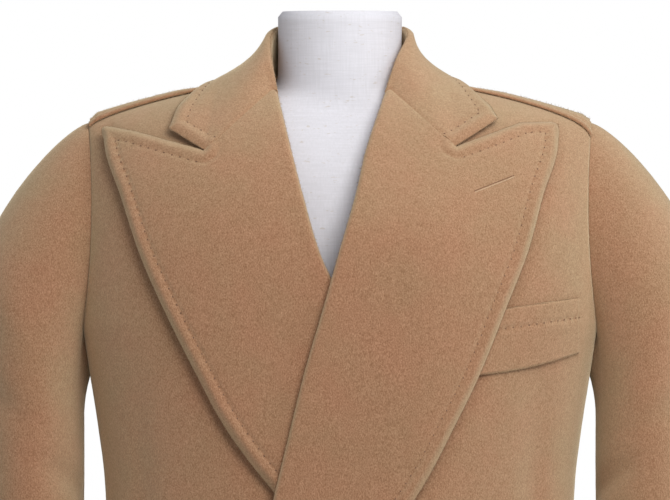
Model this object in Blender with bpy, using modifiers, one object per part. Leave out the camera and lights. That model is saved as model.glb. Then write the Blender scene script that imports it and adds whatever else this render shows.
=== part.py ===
"""Double-breasted camel coat on a limbless dress form.

Metres, +Z up. The coat faces -Y, and the wearer's left is +X.
The origin is on the floor, at the centre of the stand's base.
"""
import bisect
import math

import bmesh
import bpy
from mathutils import Vector

# Cloth and seams
CLOTH = 0.0025            # wall of the brushed wool panels
LAPEL_CLOTH = 0.0024      # wall of a turned-back lapel
COLLAR_CLOTH = 0.0020     # wall of the collar, which folds more tightly
SEAM = 0.0003             # gap between two pieces that are sewn together
LAY = 0.0014              # gap under a piece that lies on a panel

# Body of the coat
HEM_Z = 0.385
UNDERARM_Z = 1.130
YOKE_Z = 1.170            # above this the panels round over to the shoulder seam
SQUARENESS = 2.5          # power of the body's oval sections
FRONT, BACK = -1, 1
# height, half width, front depth, back depth
WIDTH, FRONT_DEPTH, BACK_DEPTH = 1, 2, 3
BODY_SECTIONS = (
    (HEM_Z, 0.2600, 0.176, 0.172),
    (0.600, 0.2415, 0.162, 0.157),
    (0.800, 0.2195, 0.146, 0.138),
    (0.950, 0.2070, 0.136, 0.124),
    (1.030, 0.2085, 0.135, 0.121),
    (1.080, 0.2145, 0.136, 0.122),
    (UNDERARM_Z, 0.2225, 0.137, 0.123),
    (YOKE_Z, 0.2300, 0.137, 0.123),
)

# Shoulder line, from the neck point to the sleeve seam
NECK_POINT_X = 0.068
NECK_POINT_Z = 1.388
SHOULDER_FALL = 0.13      # slope at the neck point
SHOULDER_BEND = 0.65      # growth of the slope towards the sleeve
# powers of the rise and of the depth, as a panel rounds over the shoulder
FRONT_ROUND = (2.4, 2.0)
BACK_ROUND = (3.5, 2.6)

# Armhole, as turns around the body's oval: the side seam is at a right angle
ARMHOLE_BITE = math.radians(24)
ARMHOLE_FLARE = math.radians(8.7)

# Fronts: places are measured out from the closing line, and down from the shoulder level
CLOSING_X = -0.0088
SHOULDER_LEVEL = 1.380
EDGE_PAST_CLOSING = 0.0765
ROLL_TRIM = 0.0062        # a front panel stops short of the roll, which the lapel covers
EDGE_STEP = 0.0025        # share of the body's height in which the front edge turns into the roll line
LAP_LIFT = 0.0085         # the upper front stands over the under front and its lapel
LAP_FULL_X, LAP_NONE_X = 0.065, 0.165
LAP_FULL_Z, LAP_NONE_Z = 1.240, 1.330

# Lapels: drop, roll line out, outer edge out
ROLL_OUT, EDGE_OUT = 1, 2
LAPEL_LEFT = (
    (0.0035, 0.0490, 0.1960),
    (0.0546, 0.0317, 0.1980),
    (0.0950, 0.0224, 0.1848),
    (0.1461, 0.0079, 0.1707),
    (0.1892, -0.0044, 0.1540),
    (0.2499, -0.0220, 0.1294),
    (0.2966, -0.0334, 0.1065),
    (0.3529, -0.0466, 0.0766),
    (0.4154, -0.0600, 0.0330),
    (0.4682, -0.0690, -0.0130),
    (0.5104, -0.0740, -0.0600),
)
LAPEL_RIGHT = (
    (0.0035, 0.0466, 0.1960),
    (0.0546, 0.0340, 0.1955),
    (0.0950, 0.0236, 0.1815),
    (0.1461, 0.0085, 0.1645),
    (0.1892, -0.0110, 0.1460),
    (0.2499, -0.0280, 0.1160),
    (0.2966, -0.0390, 0.0910),
    (0.3467, -0.0500, 0.0554),
    (0.4000, -0.0610, 0.0080),
    (0.4400, -0.0700, -0.0540),
)
# Ends of the seams between collar and lapel, as (out, drop)
LEFT_POINTS = {
    "gorge": (0.0490, 0.0035),
    "notch": (0.1082, 0.0530),
    "corner": (0.1452, 0.0317),
    "crown": (0.1650, 0.0343),
    "peak": (0.1950, 0.0360),
}
RIGHT_POINTS = {
    "gorge": (0.0466, 0.0035),
    "notch": (0.1082, 0.0563),
    "corner": (0.1390, 0.0396),
    "crown": (0.1690, 0.0414),
    "peak": (0.1960, 0.0400),
}
LAPEL_GAP = 0.0011        # seam between collar and lapel, wide enough for both rims
NOTCH_SHARE = 0.5         # share of a lapel's width that lies inside its notch
ROWS_TO_TOP = 1.5         # a lapel's rows come closer towards the shoulder, which is rounder
BREAK_GAP = 0.0035        # a lapel starts this far above the end of the front edge
ROLL_RADIUS = 0.0034      # half the thickness of the roll

# Collar guides from centre back, 0, towards the gorge, 1: place, stand, neck side and crest as x, y, z
COLLAR_GUIDES = (
    (0.00, (0.0000, 0.0622, 1.392), (0.0000, 0.0582, 1.436), (0.0000, 0.0655, 1.440)),
    (0.25, (0.0445, 0.0440, 1.392), (0.0415, 0.0410, 1.432), (0.0467, 0.0462, 1.436)),
    (0.55, (0.0622, 0.0000, 1.392), (0.0582, 0.0000, 1.425), (0.0655, 0.0000, 1.429)),
    (0.80, (0.0570, -0.0280, 1.389), (0.0545, -0.0320, 1.401), (0.0610, -0.0370, 1.406)),
)
# outer edge at the same places: distance out, and height where it lies on the back or front
COLLAR_EDGE = ((0.0000, 1.3700), (0.0700, 1.3675), (0.1130, None), (0.1340, 1.3635))
COLLAR_BACK, COLLAR_SHOULDER, COLLAR_FRONT = 0.25, 0.55, 0.80
COLLAR_SHIFT = 0.6        # share of the closing line's offset that the collar follows in front
COLLAR_LIFT = 0.0088      # the fall's outer face over the shoulder strap
COLLAR_SAG = 0.0085       # how far the fall hollows over the shoulder
COLLAR_ROLL = 0.0050      # half the thickness of the roll at the collar's ends
FOLD_BULGE = 0.2          # rise of the collar's fold over its width
GORGE_SHARE = 2 / 3       # share of the collar's end that the gorge seam takes

# Sleeves: height, centre x, centre y, half width, half depth, tilt of the section
CENTRE_X, CENTRE_Y, HALF_X, HALF_Y, TILT = 1, 2, 3, 4, 5
SLEEVE_SECTIONS = (
    (0.790, 0.2765, -0.026, 0.0430, 0.058, 0.000),
    (0.870, 0.2760, -0.018, 0.0445, 0.062, 0.004),
    (0.950, 0.2755, -0.010, 0.0460, 0.066, 0.012),
    (1.050, 0.2745, -0.002, 0.0475, 0.071, 0.030),
    (1.150, 0.2745, 0.002, 0.0475, 0.074, 0.058),
)
SLEEVE_GAP = 0.0012       # sleeve seam, wide enough for both rims
SLEEVE_HEAD = 0.28        # how far the sleeve head runs out before it turns down
SLEEVE_FLUSH = 0.30       # share of its change in depth that it makes in that run
SLEEVE_DROP = 0.006       # fall of the sleeve head in that run
SLEEVE_HANG = 0.36        # share of its height in which it comes to hang straight

# Shoulder straps
STRAP_START_X, STRAP_END_X = 0.104, 0.2170
STRAP_HALF_START, STRAP_HALF_END = 0.0190, 0.0235
STRAP_SET_BACK = 0.006   # a strap's middle lies behind the shoulder seam
STRAP_CLOTH = 0.0026
STRAP_LAY = 0.0024        # gap under a strap, which bridges the shoulder's rounding

# Breast welt on the wearer's left front, as (out, drop) of its four corners
WELT_CORNERS = ((0.1325, 0.2526), (0.2180, 0.2345), (0.2180, 0.1854), (0.1575, 0.1945))
WELT_CLOTH = 0.0026

# Buttons
BUTTON_RADIUS = 0.0145
BUTTON_THICKNESS = 0.0042
BUTTON_OUT = 0.0600
BUTTON_HEIGHTS = {"upper": 0.838, "lower": 0.728}

# Dress form: height, half width, front depth, back depth
FORM_SECTIONS = (
    (0.720, 0.1400, 0.0880, 0.0860),
    (0.735, 0.1520, 0.0980, 0.0950),
    (0.820, 0.1640, 0.1080, 0.1020),
    (0.950, 0.1560, 0.1000, 0.0930),
    (1.060, 0.1720, 0.1040, 0.0990),
    (1.170, 0.1920, 0.1060, 0.1030),
    (1.250, 0.1970, 0.1030, 0.1010),
    (1.300, 0.1950, 0.0930, 0.0950),
    (1.330, 0.1890, 0.0790, 0.0860),
    (1.350, 0.1780, 0.0640, 0.0760),
    (1.361, 0.1420, 0.0560, 0.0670),
    (1.369, 0.0980, 0.0535, 0.0590),
    (1.376, 0.0655, 0.0535, 0.0550),
    (1.385, 0.0570, 0.0540, 0.0545),
    (1.400, 0.0550, 0.0545, 0.0545),
    (1.449, 0.0550, 0.0540, 0.0540),
)
FORM_SIDES = 28
POLE_RADIUS = 0.016
BASE_RADIUS = 0.200
BASE_HEIGHT = 0.022
BASE_ROUND = 0.007
ROUND_STEPS = 32

CAMEL = (0.37, 0.21, 0.12)
LINEN = (0.72, 0.70, 0.68)
HORN = (0.10, 0.05, 0.025)
STEEL = (0.55, 0.55, 0.56)
# name: colour, roughness, metallic
FINISHES = {
    "camel_wool": (CAMEL, 0.95, 0.0),
    "linen": (LINEN, 0.85, 0.0),
    "horn": (HORN, 0.35, 0.0),
    "steel": (STEEL, 0.35, 1.0),
}


# Curves through the tables

def smooth(rows, column, at):
    """A soft curve through one column of a table, read at a value of its first column."""
    keys = [row[0] for row in rows]
    values = [row[column] for row in rows]
    last = len(keys) - 1
    at = min(max(at, keys[0]), keys[last])
    index = min(bisect.bisect_right(keys, at) - 1, last - 1)

    def slope(row):
        low, high = max(row - 1, 0), min(row + 1, last)
        return (values[high] - values[low]) / (keys[high] - keys[low])

    span = keys[index + 1] - keys[index]
    part = (at - keys[index]) / span
    start_weight = (1 + 2 * part) * (1 - part) ** 2
    end_weight = part * part * (3 - 2 * part)
    start_lean = part * (1 - part) ** 2 * span * slope(index)
    end_lean = part * part * (part - 1) * span * slope(index + 1)
    return start_weight * values[index] + end_weight * values[index + 1] + start_lean + end_lean


def ease(value, start, end):
    """0 at start, 1 at end, soft at both."""
    part = min(max((value - start) / (end - start), 0.0), 1.0)
    return part * part * (3 - 2 * part)


def lerp(start, end, part):
    return start + (end - start) * part


# The body's surface

def ridge_z(x):
    """Height of the shoulder seam."""
    out = abs(x) - NECK_POINT_X
    return NECK_POINT_Z - SHOULDER_FALL * out - SHOULDER_BEND * out * abs(out)


def half_width(z):
    return smooth(BODY_SECTIONS, WIDTH, min(z, YOKE_Z))


def section_depth(x, z, face):
    """How far the body's oval section stands out at x."""
    column = FRONT_DEPTH if face == FRONT else BACK_DEPTH
    share = min(abs(x) / half_width(z), 1.0)
    oval = (1 - share ** SQUARENESS) ** (1 / SQUARENESS)
    return smooth(BODY_SECTIONS, column, min(z, YOKE_Z)) * oval


def body_y(x, z, face):
    """Depth of the outer face of the front or back."""
    depth = section_depth(x, z, face)
    if z > YOKE_Z:
        rise = min((z - YOKE_Z) / (ridge_z(x) - YOKE_Z), 1.0)
        along, across = FRONT_ROUND if face == FRONT else BACK_ROUND
        depth *= (1 - rise ** along) ** (1 / across)
    return face * depth


def shoulder_top(x, y, face):
    """Height of the rounded shoulder over a place seen from above."""
    depth = section_depth(x, YOKE_Z, face)
    along, across = FRONT_ROUND if face == FRONT else BACK_ROUND
    share = min(abs(y) / depth, 1.0)
    rise = (1 - share ** across) ** (1 / along)
    return lerp(YOKE_Z, ridge_z(x), rise)


def shoulder_tilt(x, y, step=0.001):
    """Height of the shoulder over a place, and its unscaled outward direction there."""
    def top(at_x, at_y):
        return shoulder_top(at_x, at_y, FRONT if at_y < 0 else BACK)

    across = (top(x + step, y) - top(x - step, y)) / (2 * step)
    deep = (top(x, y + step) - top(x, y - step)) / (2 * step)
    return top(x, y), Vector((-across, -deep, 1.0))


def on_shoulder(x, y, lift):
    """A point of the rounded shoulder over a place seen from above, moved out by lift."""
    top, tilt = shoulder_tilt(x, y)
    return Vector((x, y, top)) + tilt.normalized() * lift


def settled(point, lift):
    """The point, raised where it would lie closer to the shoulder than lift."""
    top, tilt = shoulder_tilt(point.x, point.y)
    return Vector((point.x, point.y, max(point.z, top + lift * tilt.length)))


def body_normal(x, z, face, step=0.001):
    """Outward direction of the body's surface."""
    across = (body_y(x + step, z, face) - body_y(x - step, z, face)) / (2 * step)
    up = (body_y(x, z + step, face) - body_y(x, z - step, face)) / (2 * step)
    return (Vector((-across, 1.0, -up)) * face).normalized()


def on_body(x, z, face, lift=0.0):
    """A point of the body, moved out by lift."""
    point = Vector((x, body_y(x, z, face), z))
    return point + body_normal(x, z, face) * lift if lift else point


def level_z(level, x):
    """Height at a level: 0 is the hem, 1 the yoke and 2 the shoulder seam."""
    if level <= 1:
        return lerp(HEM_Z, YOKE_Z, level)
    return lerp(YOKE_Z, ridge_z(x), level - 1)


def turn_x(turn, level):
    """Distance out at a turn around the oval: 0 is the middle and a right angle the side."""
    width = half_width(lerp(HEM_Z, YOKE_Z, min(level, 1.0)))
    return width * math.copysign(abs(math.sin(turn)) ** (2 / SQUARENESS), turn)


def x_turn(x, z):
    share = min(abs(x) / half_width(z), 1.0)
    return math.copysign(math.asin(share ** (SQUARENESS / 2)), x)


UNDERARM_LEVEL = (UNDERARM_Z - HEM_Z) / (YOKE_Z - HEM_Z)


def armhole_turn(level):
    """Turn of the side seam, and above the underarm of the armhole."""
    part = max((level - UNDERARM_LEVEL) / (2 - UNDERARM_LEVEL), 0.0)
    scoop = math.sqrt(1 - (1 - part) ** 2)
    return math.pi / 2 - ARMHOLE_BITE * scoop + ARMHOLE_FLARE * part * part


# Fronts

def closing_x(side, out):
    return CLOSING_X + side * out


def lap_lift(side, x, z):
    """How far the wearer's left front stands out where it laps over the other."""
    if side < 0:
        return 0.0
    return LAP_LIFT * (1 - ease(x, LAP_FULL_X, LAP_NONE_X)) * (1 - ease(z, LAP_FULL_Z, LAP_NONE_Z))


def lapel_rows(side):
    return LAPEL_LEFT if side > 0 else LAPEL_RIGHT


def seam_points(side):
    return LEFT_POINTS if side > 0 else RIGHT_POINTS


def front_edge_x(side, z):
    """The panel's inner edge: the front edge, then the roll line, then the neck."""
    rows = lapel_rows(side)
    drop = SHOULDER_LEVEL - z
    gorge_drop, gorge_out, _ = rows[0]
    if drop <= gorge_drop:
        part = (gorge_drop - drop) / (gorge_drop + NECK_POINT_Z - SHOULDER_LEVEL)
        return lerp(closing_x(side, gorge_out + ROLL_TRIM), side * NECK_POINT_X, min(part, 1.0))
    if drop > rows[-1][0]:
        return closing_x(side, -EDGE_PAST_CLOSING)
    return closing_x(side, smooth(rows, ROLL_OUT, drop) + ROLL_TRIM)


def break_level(side):
    """Level where the front edge ends and the roll line starts."""
    return (SHOULDER_LEVEL - lapel_rows(side)[-1][0] - HEM_Z) / (YOKE_Z - HEM_Z)


def panel_levels(lower, upper, stops=()):
    """Rows of a panel: even between its stops and the underarm, then closer at the armhole's ends."""
    bounds = [0.0, *stops, UNDERARM_LEVEL]
    levels = []
    for start, end in zip(bounds, bounds[1:]):
        steps = max(round((end - start) / UNDERARM_LEVEL * lower), 1)
        levels += [lerp(start, end, row / steps) for row in range(steps)]
    for row in range(upper + 1):
        part = (1 - math.cos(math.pi * row / upper)) / 2
        levels.append(lerp(UNDERARM_LEVEL, 2.0, part))
    return levels


def front_grid(side, across, lower, upper):
    """Rows of points over a front panel, each running towards +X."""
    grid = []
    turn_back = break_level(side)
    for level in panel_levels(lower, upper, (turn_back - EDGE_STEP, turn_back + EDGE_STEP)):
        inner_x = front_edge_x(side, level_z(level, side * NECK_POINT_X))
        for _ in range(4):
            inner_x = front_edge_x(side, level_z(level, inner_x))
        inner = x_turn(inner_x, level_z(level, inner_x))
        outer = side * armhole_turn(level)
        row = []
        for column in range(across + 1):
            x = turn_x(lerp(inner, outer, column / across), level)
            z = level_z(level, x)
            row.append(on_body(x, z, FRONT, lap_lift(side, x, z)))
        grid.append(row if side > 0 else row[::-1])
    return grid


def back_grid(across, lower, upper):
    """Rows of points over the back, each running towards -X."""
    top_turn = armhole_turn(2.0)
    neck_share = x_turn(NECK_POINT_X, YOKE_Z) / top_turn
    neck_columns = 2
    half = [neck_share * column / neck_columns for column in range(neck_columns)]
    half += [lerp(neck_share, 1.0, column / across) for column in range(across + 1)]
    shares = [-share for share in half[:0:-1]] + half
    grid = []
    for level in panel_levels(lower, upper):
        row = []
        for share in reversed(shares):
            top_x = turn_x(share * top_turn, 2.0)
            neck_y = math.sqrt(max(NECK_POINT_X ** 2 - top_x ** 2, 0.0))
            top_z = shoulder_top(top_x, neck_y, BACK)
            top_level = 1 + (top_z - YOKE_Z) / (ridge_z(top_x) - YOKE_Z)
            own_level = level * top_level / 2
            x = turn_x(share * armhole_turn(level), own_level)
            row.append(on_body(x, level_z(own_level, x), BACK))
        grid.append(row)
    return grid


# Lapels and collar

def along(points, part):
    """A place on a line of (out, drop) points, by its share of the length."""
    lengths = [math.dist(first, second) for first, second in zip(points, points[1:])]
    left = part * sum(lengths)
    for first, second, length in zip(points, points[1:], lengths):
        if left <= length or second is points[-1]:
            share = left / length
            return lerp(first[0], second[0], share), lerp(first[1], second[1], share)
        left -= length


def lapel_top(points, across):
    """(out, drop) on a lapel's top: along the gorge seam to the notch, then on to the peak."""
    line = [(points[name][0], points[name][1] + LAPEL_GAP) for name in ("gorge", "notch", "crown", "peak")]
    if across <= NOTCH_SHARE:
        return along(line[:2], across / NOTCH_SHARE)
    return along(line[1:], (across - NOTCH_SHARE) / (1 - NOTCH_SHARE))


def lapel_place(side, across, up):
    """(out, drop) on a lapel: across runs from roll to outer edge, up from the break to the top."""
    rows = lapel_rows(side)
    points = seam_points(side)
    break_drop = rows[-1][0] - BREAK_GAP
    gorge_drop, peak_drop = lapel_top(points, 0.0)[1], lapel_top(points, 1.0)[1]

    def roll(part):
        drop = lerp(break_drop, gorge_drop, part)
        return smooth(rows, ROLL_OUT, drop), drop

    def edge(part):
        drop = lerp(break_drop, peak_drop, part)
        return smooth(rows, EDGE_OUT, drop), drop

    place = []
    for axis in (0, 1):
        sides = lerp(roll(up)[axis], edge(up)[axis], across)
        bottom = lerp(roll(0)[axis], edge(0)[axis], across)
        top = lapel_top(points, across)[axis]
        flat = lerp(bottom, lerp(roll(1)[axis], edge(1)[axis], across), up)
        place.append(sides + lerp(bottom, top, up) - flat)
    return place


def front_place(side, out, drop, lift):
    """A point over a front panel, lap and all."""
    x, z = closing_x(side, out), SHOULDER_LEVEL - drop
    return on_body(x, z, FRONT, lap_lift(side, x, z) + lift)


def roll_turn(side, out, drop, face_lift, steps, radius=ROLL_RADIUS):
    """Points round the roll, from behind the panel's edge to the lapel's face."""
    points = []
    for step in range(steps):
        turn = math.pi * (step / steps - 0.5)
        shift = radius * (1 - math.cos(turn))
        lift = face_lift - radius * (1 - math.sin(turn))
        points.append(front_place(side, out + shift, drop, lift))
    return points


def lapel_grid(side, across, up, roll_steps):
    face_lift = LAY + LAPEL_CLOTH
    grid = []
    for row in range(up + 1):
        height = 1 - (1 - row / up) ** ROWS_TO_TOP
        roll_out, roll_drop = lapel_place(side, 0.0, height)
        points = roll_turn(side, roll_out, roll_drop, face_lift, roll_steps)
        for column in range(across + 1):
            out, drop = lapel_place(side, column / across, height)
            inset = ROLL_RADIUS * (1 - column / across)
            points.append(front_place(side, out + inset, drop, face_lift))
        grid.append(points if side > 0 else points[::-1])
    return grid


def collar_shift(place, start, end):
    """How far the collar follows the closing line's offset, from start on and fully from end on."""
    return CLOSING_X * COLLAR_SHIFT * ease(place, start, end)


def collar_near(place):
    """How near a place is to the shoulder line: 1 on it, 0 at the back and at the gorge."""
    return ease(place, COLLAR_BACK, COLLAR_SHOULDER) * (1 - ease(place, COLLAR_SHOULDER, 1.0))


def collar_lift(place):
    """How far the fall's outer face stands off: most over the shoulder strap."""
    return lerp(LAY + LAPEL_CLOTH, COLLAR_LIFT, collar_near(place))


def collar_edge(side, place, out, z):
    """The fall's outer edge at one of the collar's places."""
    x = side * out + collar_shift(place, COLLAR_BACK, COLLAR_SHOULDER)
    if place == COLLAR_SHOULDER:
        return on_shoulder(x, 0.0, collar_lift(place))
    return on_body(x, z, BACK if place <= COLLAR_BACK else FRONT, collar_lift(place))


def collar_guides(side):
    """Tables of place, x, y, z for the stand, neck side, crest and outer edge."""
    points = seam_points(side)
    lift = LAY + LAPEL_CLOTH
    gorge_out, gorge_drop = points["gorge"]
    corner_out, corner_drop = points["corner"]
    guides = [[], [], [], []]
    for (place, *inner), (out, z) in zip(COLLAR_GUIDES, COLLAR_EDGE):
        shift = collar_shift(place, COLLAR_SHOULDER, COLLAR_FRONT)
        for guide, (x, y, height) in zip(guides, inner):
            guide.append((place, side * x + shift, y, height))
        guides[-1].append((place, *collar_edge(side, place, out, z)))
    ends = roll_turn(side, gorge_out, gorge_drop - LAPEL_GAP, lift, 2, COLLAR_ROLL)
    ends.append(front_place(side, gorge_out + COLLAR_ROLL, gorge_drop - LAPEL_GAP, lift))
    ends.append(front_place(side, corner_out, corner_drop - LAPEL_GAP, lift))
    for guide, end in zip(guides, ends):
        place, x, y, z = guide[1]
        guide.insert(0, (-place, -x, y, z))
        guide.append((1.0, *end))
    return guides


def collar_grid(around, stand_steps, fall_steps):
    """Rows from the stand over the crest to the outer edge, from left gorge to right gorge."""
    grid = []
    guides = {side: collar_guides(side) for side in (1, -1)}
    for step in range(around, -around - 1, -1):
        side = 1 if step >= 0 else -1
        place = abs(step) / around
        stand, neck, crest, edge = (
            Vector([smooth(rows, column, place) for column in (1, 2, 3)]) for rows in guides[side])
        end_crest, end_edge = (Vector(rows[-1][1:]) for rows in guides[side][2:])
        pull = ease(place, COLLAR_SHOULDER, 1.0) ** 2
        inward = Vector((crest.x - edge.x, crest.y - edge.y, 0)).normalized()
        hollow = inward * COLLAR_SAG * collar_near(place)
        row = [stand.lerp(neck, part / stand_steps) for part in range(stand_steps)]
        row.append(neck)
        away = (neck - stand).normalized() + (crest - edge).normalized()
        row.append(neck.lerp(crest, 0.5) + away.normalized() * (crest - neck).length * FOLD_BULGE)
        for part in range(fall_steps + 1):
            share = part / fall_steps
            out, drop = collar_end(side, share)
            end_point = front_place(side, out, drop - LAPEL_GAP, LAY + LAPEL_CLOTH)
            point = crest.lerp(edge, share) + hollow * math.sin(math.pi * share)
            point += (end_point - end_crest.lerp(end_edge, share)) * pull
            row.append(settled(point, collar_lift(place)) if COLLAR_BACK < place < 1 else point)
        grid.append(row)
    return grid


def collar_end(side, share):
    """(out, drop) on the collar's end: along the gorge seam, then up the front edge."""
    gorge, notch, corner = (seam_points(side)[name] for name in ("gorge", "notch", "corner"))
    if share <= GORGE_SHARE:
        return along([(gorge[0] + COLLAR_ROLL, gorge[1]), notch], share / GORGE_SHARE)
    return along([notch, corner], (share - GORGE_SHARE) / (1 - GORGE_SHARE))


# Sleeves and straps

def sleeve_point(side, turn, z):
    """A point of the sleeve's tube: turn 0 is next to the body, a right angle is the front."""
    width, depth = smooth(SLEEVE_SECTIONS, HALF_X, z), smooth(SLEEVE_SECTIONS, HALF_Y, z)
    x = smooth(SLEEVE_SECTIONS, CENTRE_X, z) - width * math.cos(turn)
    y = smooth(SLEEVE_SECTIONS, CENTRE_Y, z) - depth * math.sin(turn)
    return Vector((side * x, y, z - smooth(SLEEVE_SECTIONS, TILT, z) * math.cos(turn)))


def armhole_loop(side, half):
    """The armhole's points from the underarm up the front and down the back, with their turns."""
    loop = []
    for step in range(2 * half):
        turn = math.pi * step / half
        part = (1 - math.cos(turn)) / 2
        level = lerp(UNDERARM_LEVEL, 2.0, part)
        x = turn_x(side * armhole_turn(level), level)
        point = on_body(x, level_z(level, x), FRONT if step <= half else BACK)
        loop.append((turn, point + Vector((side * SLEEVE_GAP, 0, 0))))
    return loop


def sleeve_grid(side, half, head_steps, tube_steps):
    top_z, cuff_z = SLEEVE_SECTIONS[-1][0], SLEEVE_SECTIONS[0][0]
    rings = [[] for _ in range(head_steps + tube_steps + 1)]
    for turn, start in armhole_loop(side, half):
        end = sleeve_point(side, turn, top_z)
        out = max(abs(lerp(start.x, end.x, SLEEVE_HEAD)), abs(start.x) + SLEEVE_GAP)
        bend = Vector((side * out, lerp(start.y, end.y, SLEEVE_FLUSH), start.z - SLEEVE_DROP))
        hang = end.lerp(Vector((end.x, end.y, start.z)), SLEEVE_HANG)
        for step in range(head_steps):
            part = step / head_steps
            run, turned_down, fall = start.lerp(bend, part), bend.lerp(hang, part), hang.lerp(end, part)
            rings[step].append(run.lerp(turned_down, part).lerp(turned_down.lerp(fall, part), part))
        for step in range(tube_steps + 1):
            z = lerp(top_z, cuff_z, step / tube_steps)
            rings[head_steps + step].append(sleeve_point(side, turn, z))
    return [ring[::-1] for ring in rings] if side > 0 else rings


def strap_grid(side, long_steps, across_steps):
    """A shoulder strap from under the collar to the sleeve seam, over the shoulder line."""
    grid = []
    for row in range(across_steps + 1):
        points = []
        for column in range(long_steps + 1):
            part = column / long_steps
            x = side * lerp(STRAP_START_X, STRAP_END_X, part)
            half = lerp(STRAP_HALF_START, STRAP_HALF_END, part)
            y = lerp(-half, half, row / across_steps) + STRAP_SET_BACK
            points.append(on_shoulder(x, y, STRAP_LAY + STRAP_CLOTH))
        grid.append(points if side > 0 else points[::-1])
    return grid


def welt_grid(across, up):
    lower_in, lower_out, upper_out, upper_in = WELT_CORNERS
    grid = []
    for row in range(up + 1):
        points = []
        for column in range(across + 1):
            part, height = column / across, row / up
            out = lerp(lerp(lower_in[0], lower_out[0], part), lerp(upper_in[0], upper_out[0], part), height)
            drop = lerp(lerp(lower_in[1], lower_out[1], part), lerp(upper_in[1], upper_out[1], part), height)
            points.append(front_place(1, out, drop, LAY + WELT_CLOTH))
        grid.append(points)
    return grid


# Objects

def finish(name):
    """The material of one piece."""
    colour, roughness, metallic = FINISHES[name]
    material = bpy.data.materials.get(name)
    if material is None:
        material = bpy.data.materials.new(name)
        material.use_nodes = True
        shader = material.node_tree.nodes["Principled BSDF"]
        shader.inputs["Base Color"].default_value = (*colour, 1.0)
        shader.inputs["Roughness"].default_value = roughness
        shader.inputs["Metallic"].default_value = metallic
    return material


def add_object(name, mesh, finish_name, collection):
    piece = bpy.data.objects.new(name, mesh)
    collection.objects.link(piece)
    mesh.materials.clear()
    mesh.materials.append(finish(finish_name))
    mesh.shade_smooth()
    mesh.set_sharp_from_angle(angle=math.radians(40))
    return piece


def grid_mesh(name, grid, closed=False):
    """An open surface over rows of points; a closed one also joins each row's ends."""
    rows, columns = len(grid), len(grid[0])
    faces = []
    for row in range(rows - 1):
        for column in range(columns if closed else columns - 1):
            after = (column + 1) % columns
            faces.append((row * columns + column, row * columns + after,
                          (row + 1) * columns + after, (row + 1) * columns + column))
    mesh = bpy.data.meshes.new(name)
    mesh.from_pydata([tuple(point) for row in grid for point in row], [], faces)
    return mesh


def baked(piece):
    """The piece's mesh with its modifiers applied."""
    graph = bpy.context.evaluated_depsgraph_get()
    mesh = bpy.data.meshes.new_from_object(piece.evaluated_get(graph))
    piece.modifiers.clear()
    piece.data = mesh
    return mesh


def cloth(name, grid, thickness, collection, closed=False, seam_face=None):
    """A wall of cloth behind its outer face; a panel's side and shoulder rims stop at its seam."""
    piece = add_object(name, grid_mesh(name, grid, closed), "camel_wool", collection)
    wall = piece.modifiers.new("wall", "SOLIDIFY")
    wall.thickness = thickness
    wall.offset = -1
    if seam_face:
        for vertex in baked(piece).vertices:
            vertex.co.y = seam_face * max(vertex.co.y * seam_face, SEAM / 2)
    return piece


def turned(name, profile, finish_name, collection):
    """A solid of revolution about Z from its (radius, height) profile, top to bottom."""
    mesh = bpy.data.meshes.new(name)
    edges = [(index, index + 1) for index in range(len(profile) - 1)]
    mesh.from_pydata([(radius, 0, height) for radius, height in profile], edges, [])
    piece = add_object(name, mesh, finish_name, collection)
    spin = piece.modifiers.new("turn", "SCREW")
    spin.steps = spin.render_steps = ROUND_STEPS
    spin.use_merge_vertices = True
    spin.merge_threshold = 0.00005
    return piece


def rounded_disc(radius, bottom, top, corner, steps=3):
    """Profile of a disc with a rounded upper rim."""
    arc = []
    for step in range(steps + 1):
        turn = math.pi / 2 * step / steps
        arc.append((radius - corner + corner * math.sin(turn), top - corner + corner * math.cos(turn)))
    return [(0.0, top), *arc, (radius, bottom), (0.0, bottom)]


def add_buttons(collection):
    for height_name, z in BUTTON_HEIGHTS.items():
        for side_name, side in (("left", 1), ("right", -1)):
            x = CLOSING_X + side * BUTTON_OUT
            corner = BUTTON_THICKNESS / 3
            profile = rounded_disc(BUTTON_RADIUS, 0.0, BUTTON_THICKNESS, corner, steps=2)
            button = turned("button_%s_%s" % (height_name, side_name), profile, "horn", collection)
            button.location = on_body(x, z, FRONT, lap_lift(1, x, z) + LAY)
            button.rotation_euler = body_normal(x, z, FRONT).to_track_quat("Z", "Y").to_euler()


def add_form(collection):
    rings = []
    for z, width, front, back in FORM_SECTIONS:
        ring = []
        for step in range(FORM_SIDES):
            turn = 2 * math.pi * step / FORM_SIDES
            depth = front if math.sin(turn) < 0 else back
            ring.append((width * math.cos(turn), depth * math.sin(turn), z))
        rings.append(ring)
    mesh = grid_mesh("form_body", rings, closed=True)
    body = bmesh.new()
    body.from_mesh(mesh)
    bmesh.ops.holes_fill(body, edges=[edge for edge in body.edges if edge.is_boundary], sides=0)
    bmesh.ops.recalc_face_normals(body, faces=body.faces)
    body.to_mesh(mesh)
    body.free()
    add_object("form_body", mesh, "linen", collection)
    pole_top, pole_bottom = FORM_SECTIONS[0][0] - SEAM, BASE_HEIGHT + SEAM
    bpy.ops.mesh.primitive_cylinder_add(
        vertices=ROUND_STEPS, radius=POLE_RADIUS, depth=pole_top - pole_bottom,
        location=(0, 0, (pole_top + pole_bottom) / 2))
    pole = bpy.context.object
    pole.name = pole.data.name = "form_pole"
    pole.data.materials.append(finish("steel"))
    for home in pole.users_collection:
        home.objects.unlink(pole)
    collection.objects.link(pole)
    turned("form_base", rounded_disc(BASE_RADIUS, 0.0, BASE_HEIGHT, BASE_ROUND), "steel", collection)


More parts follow.
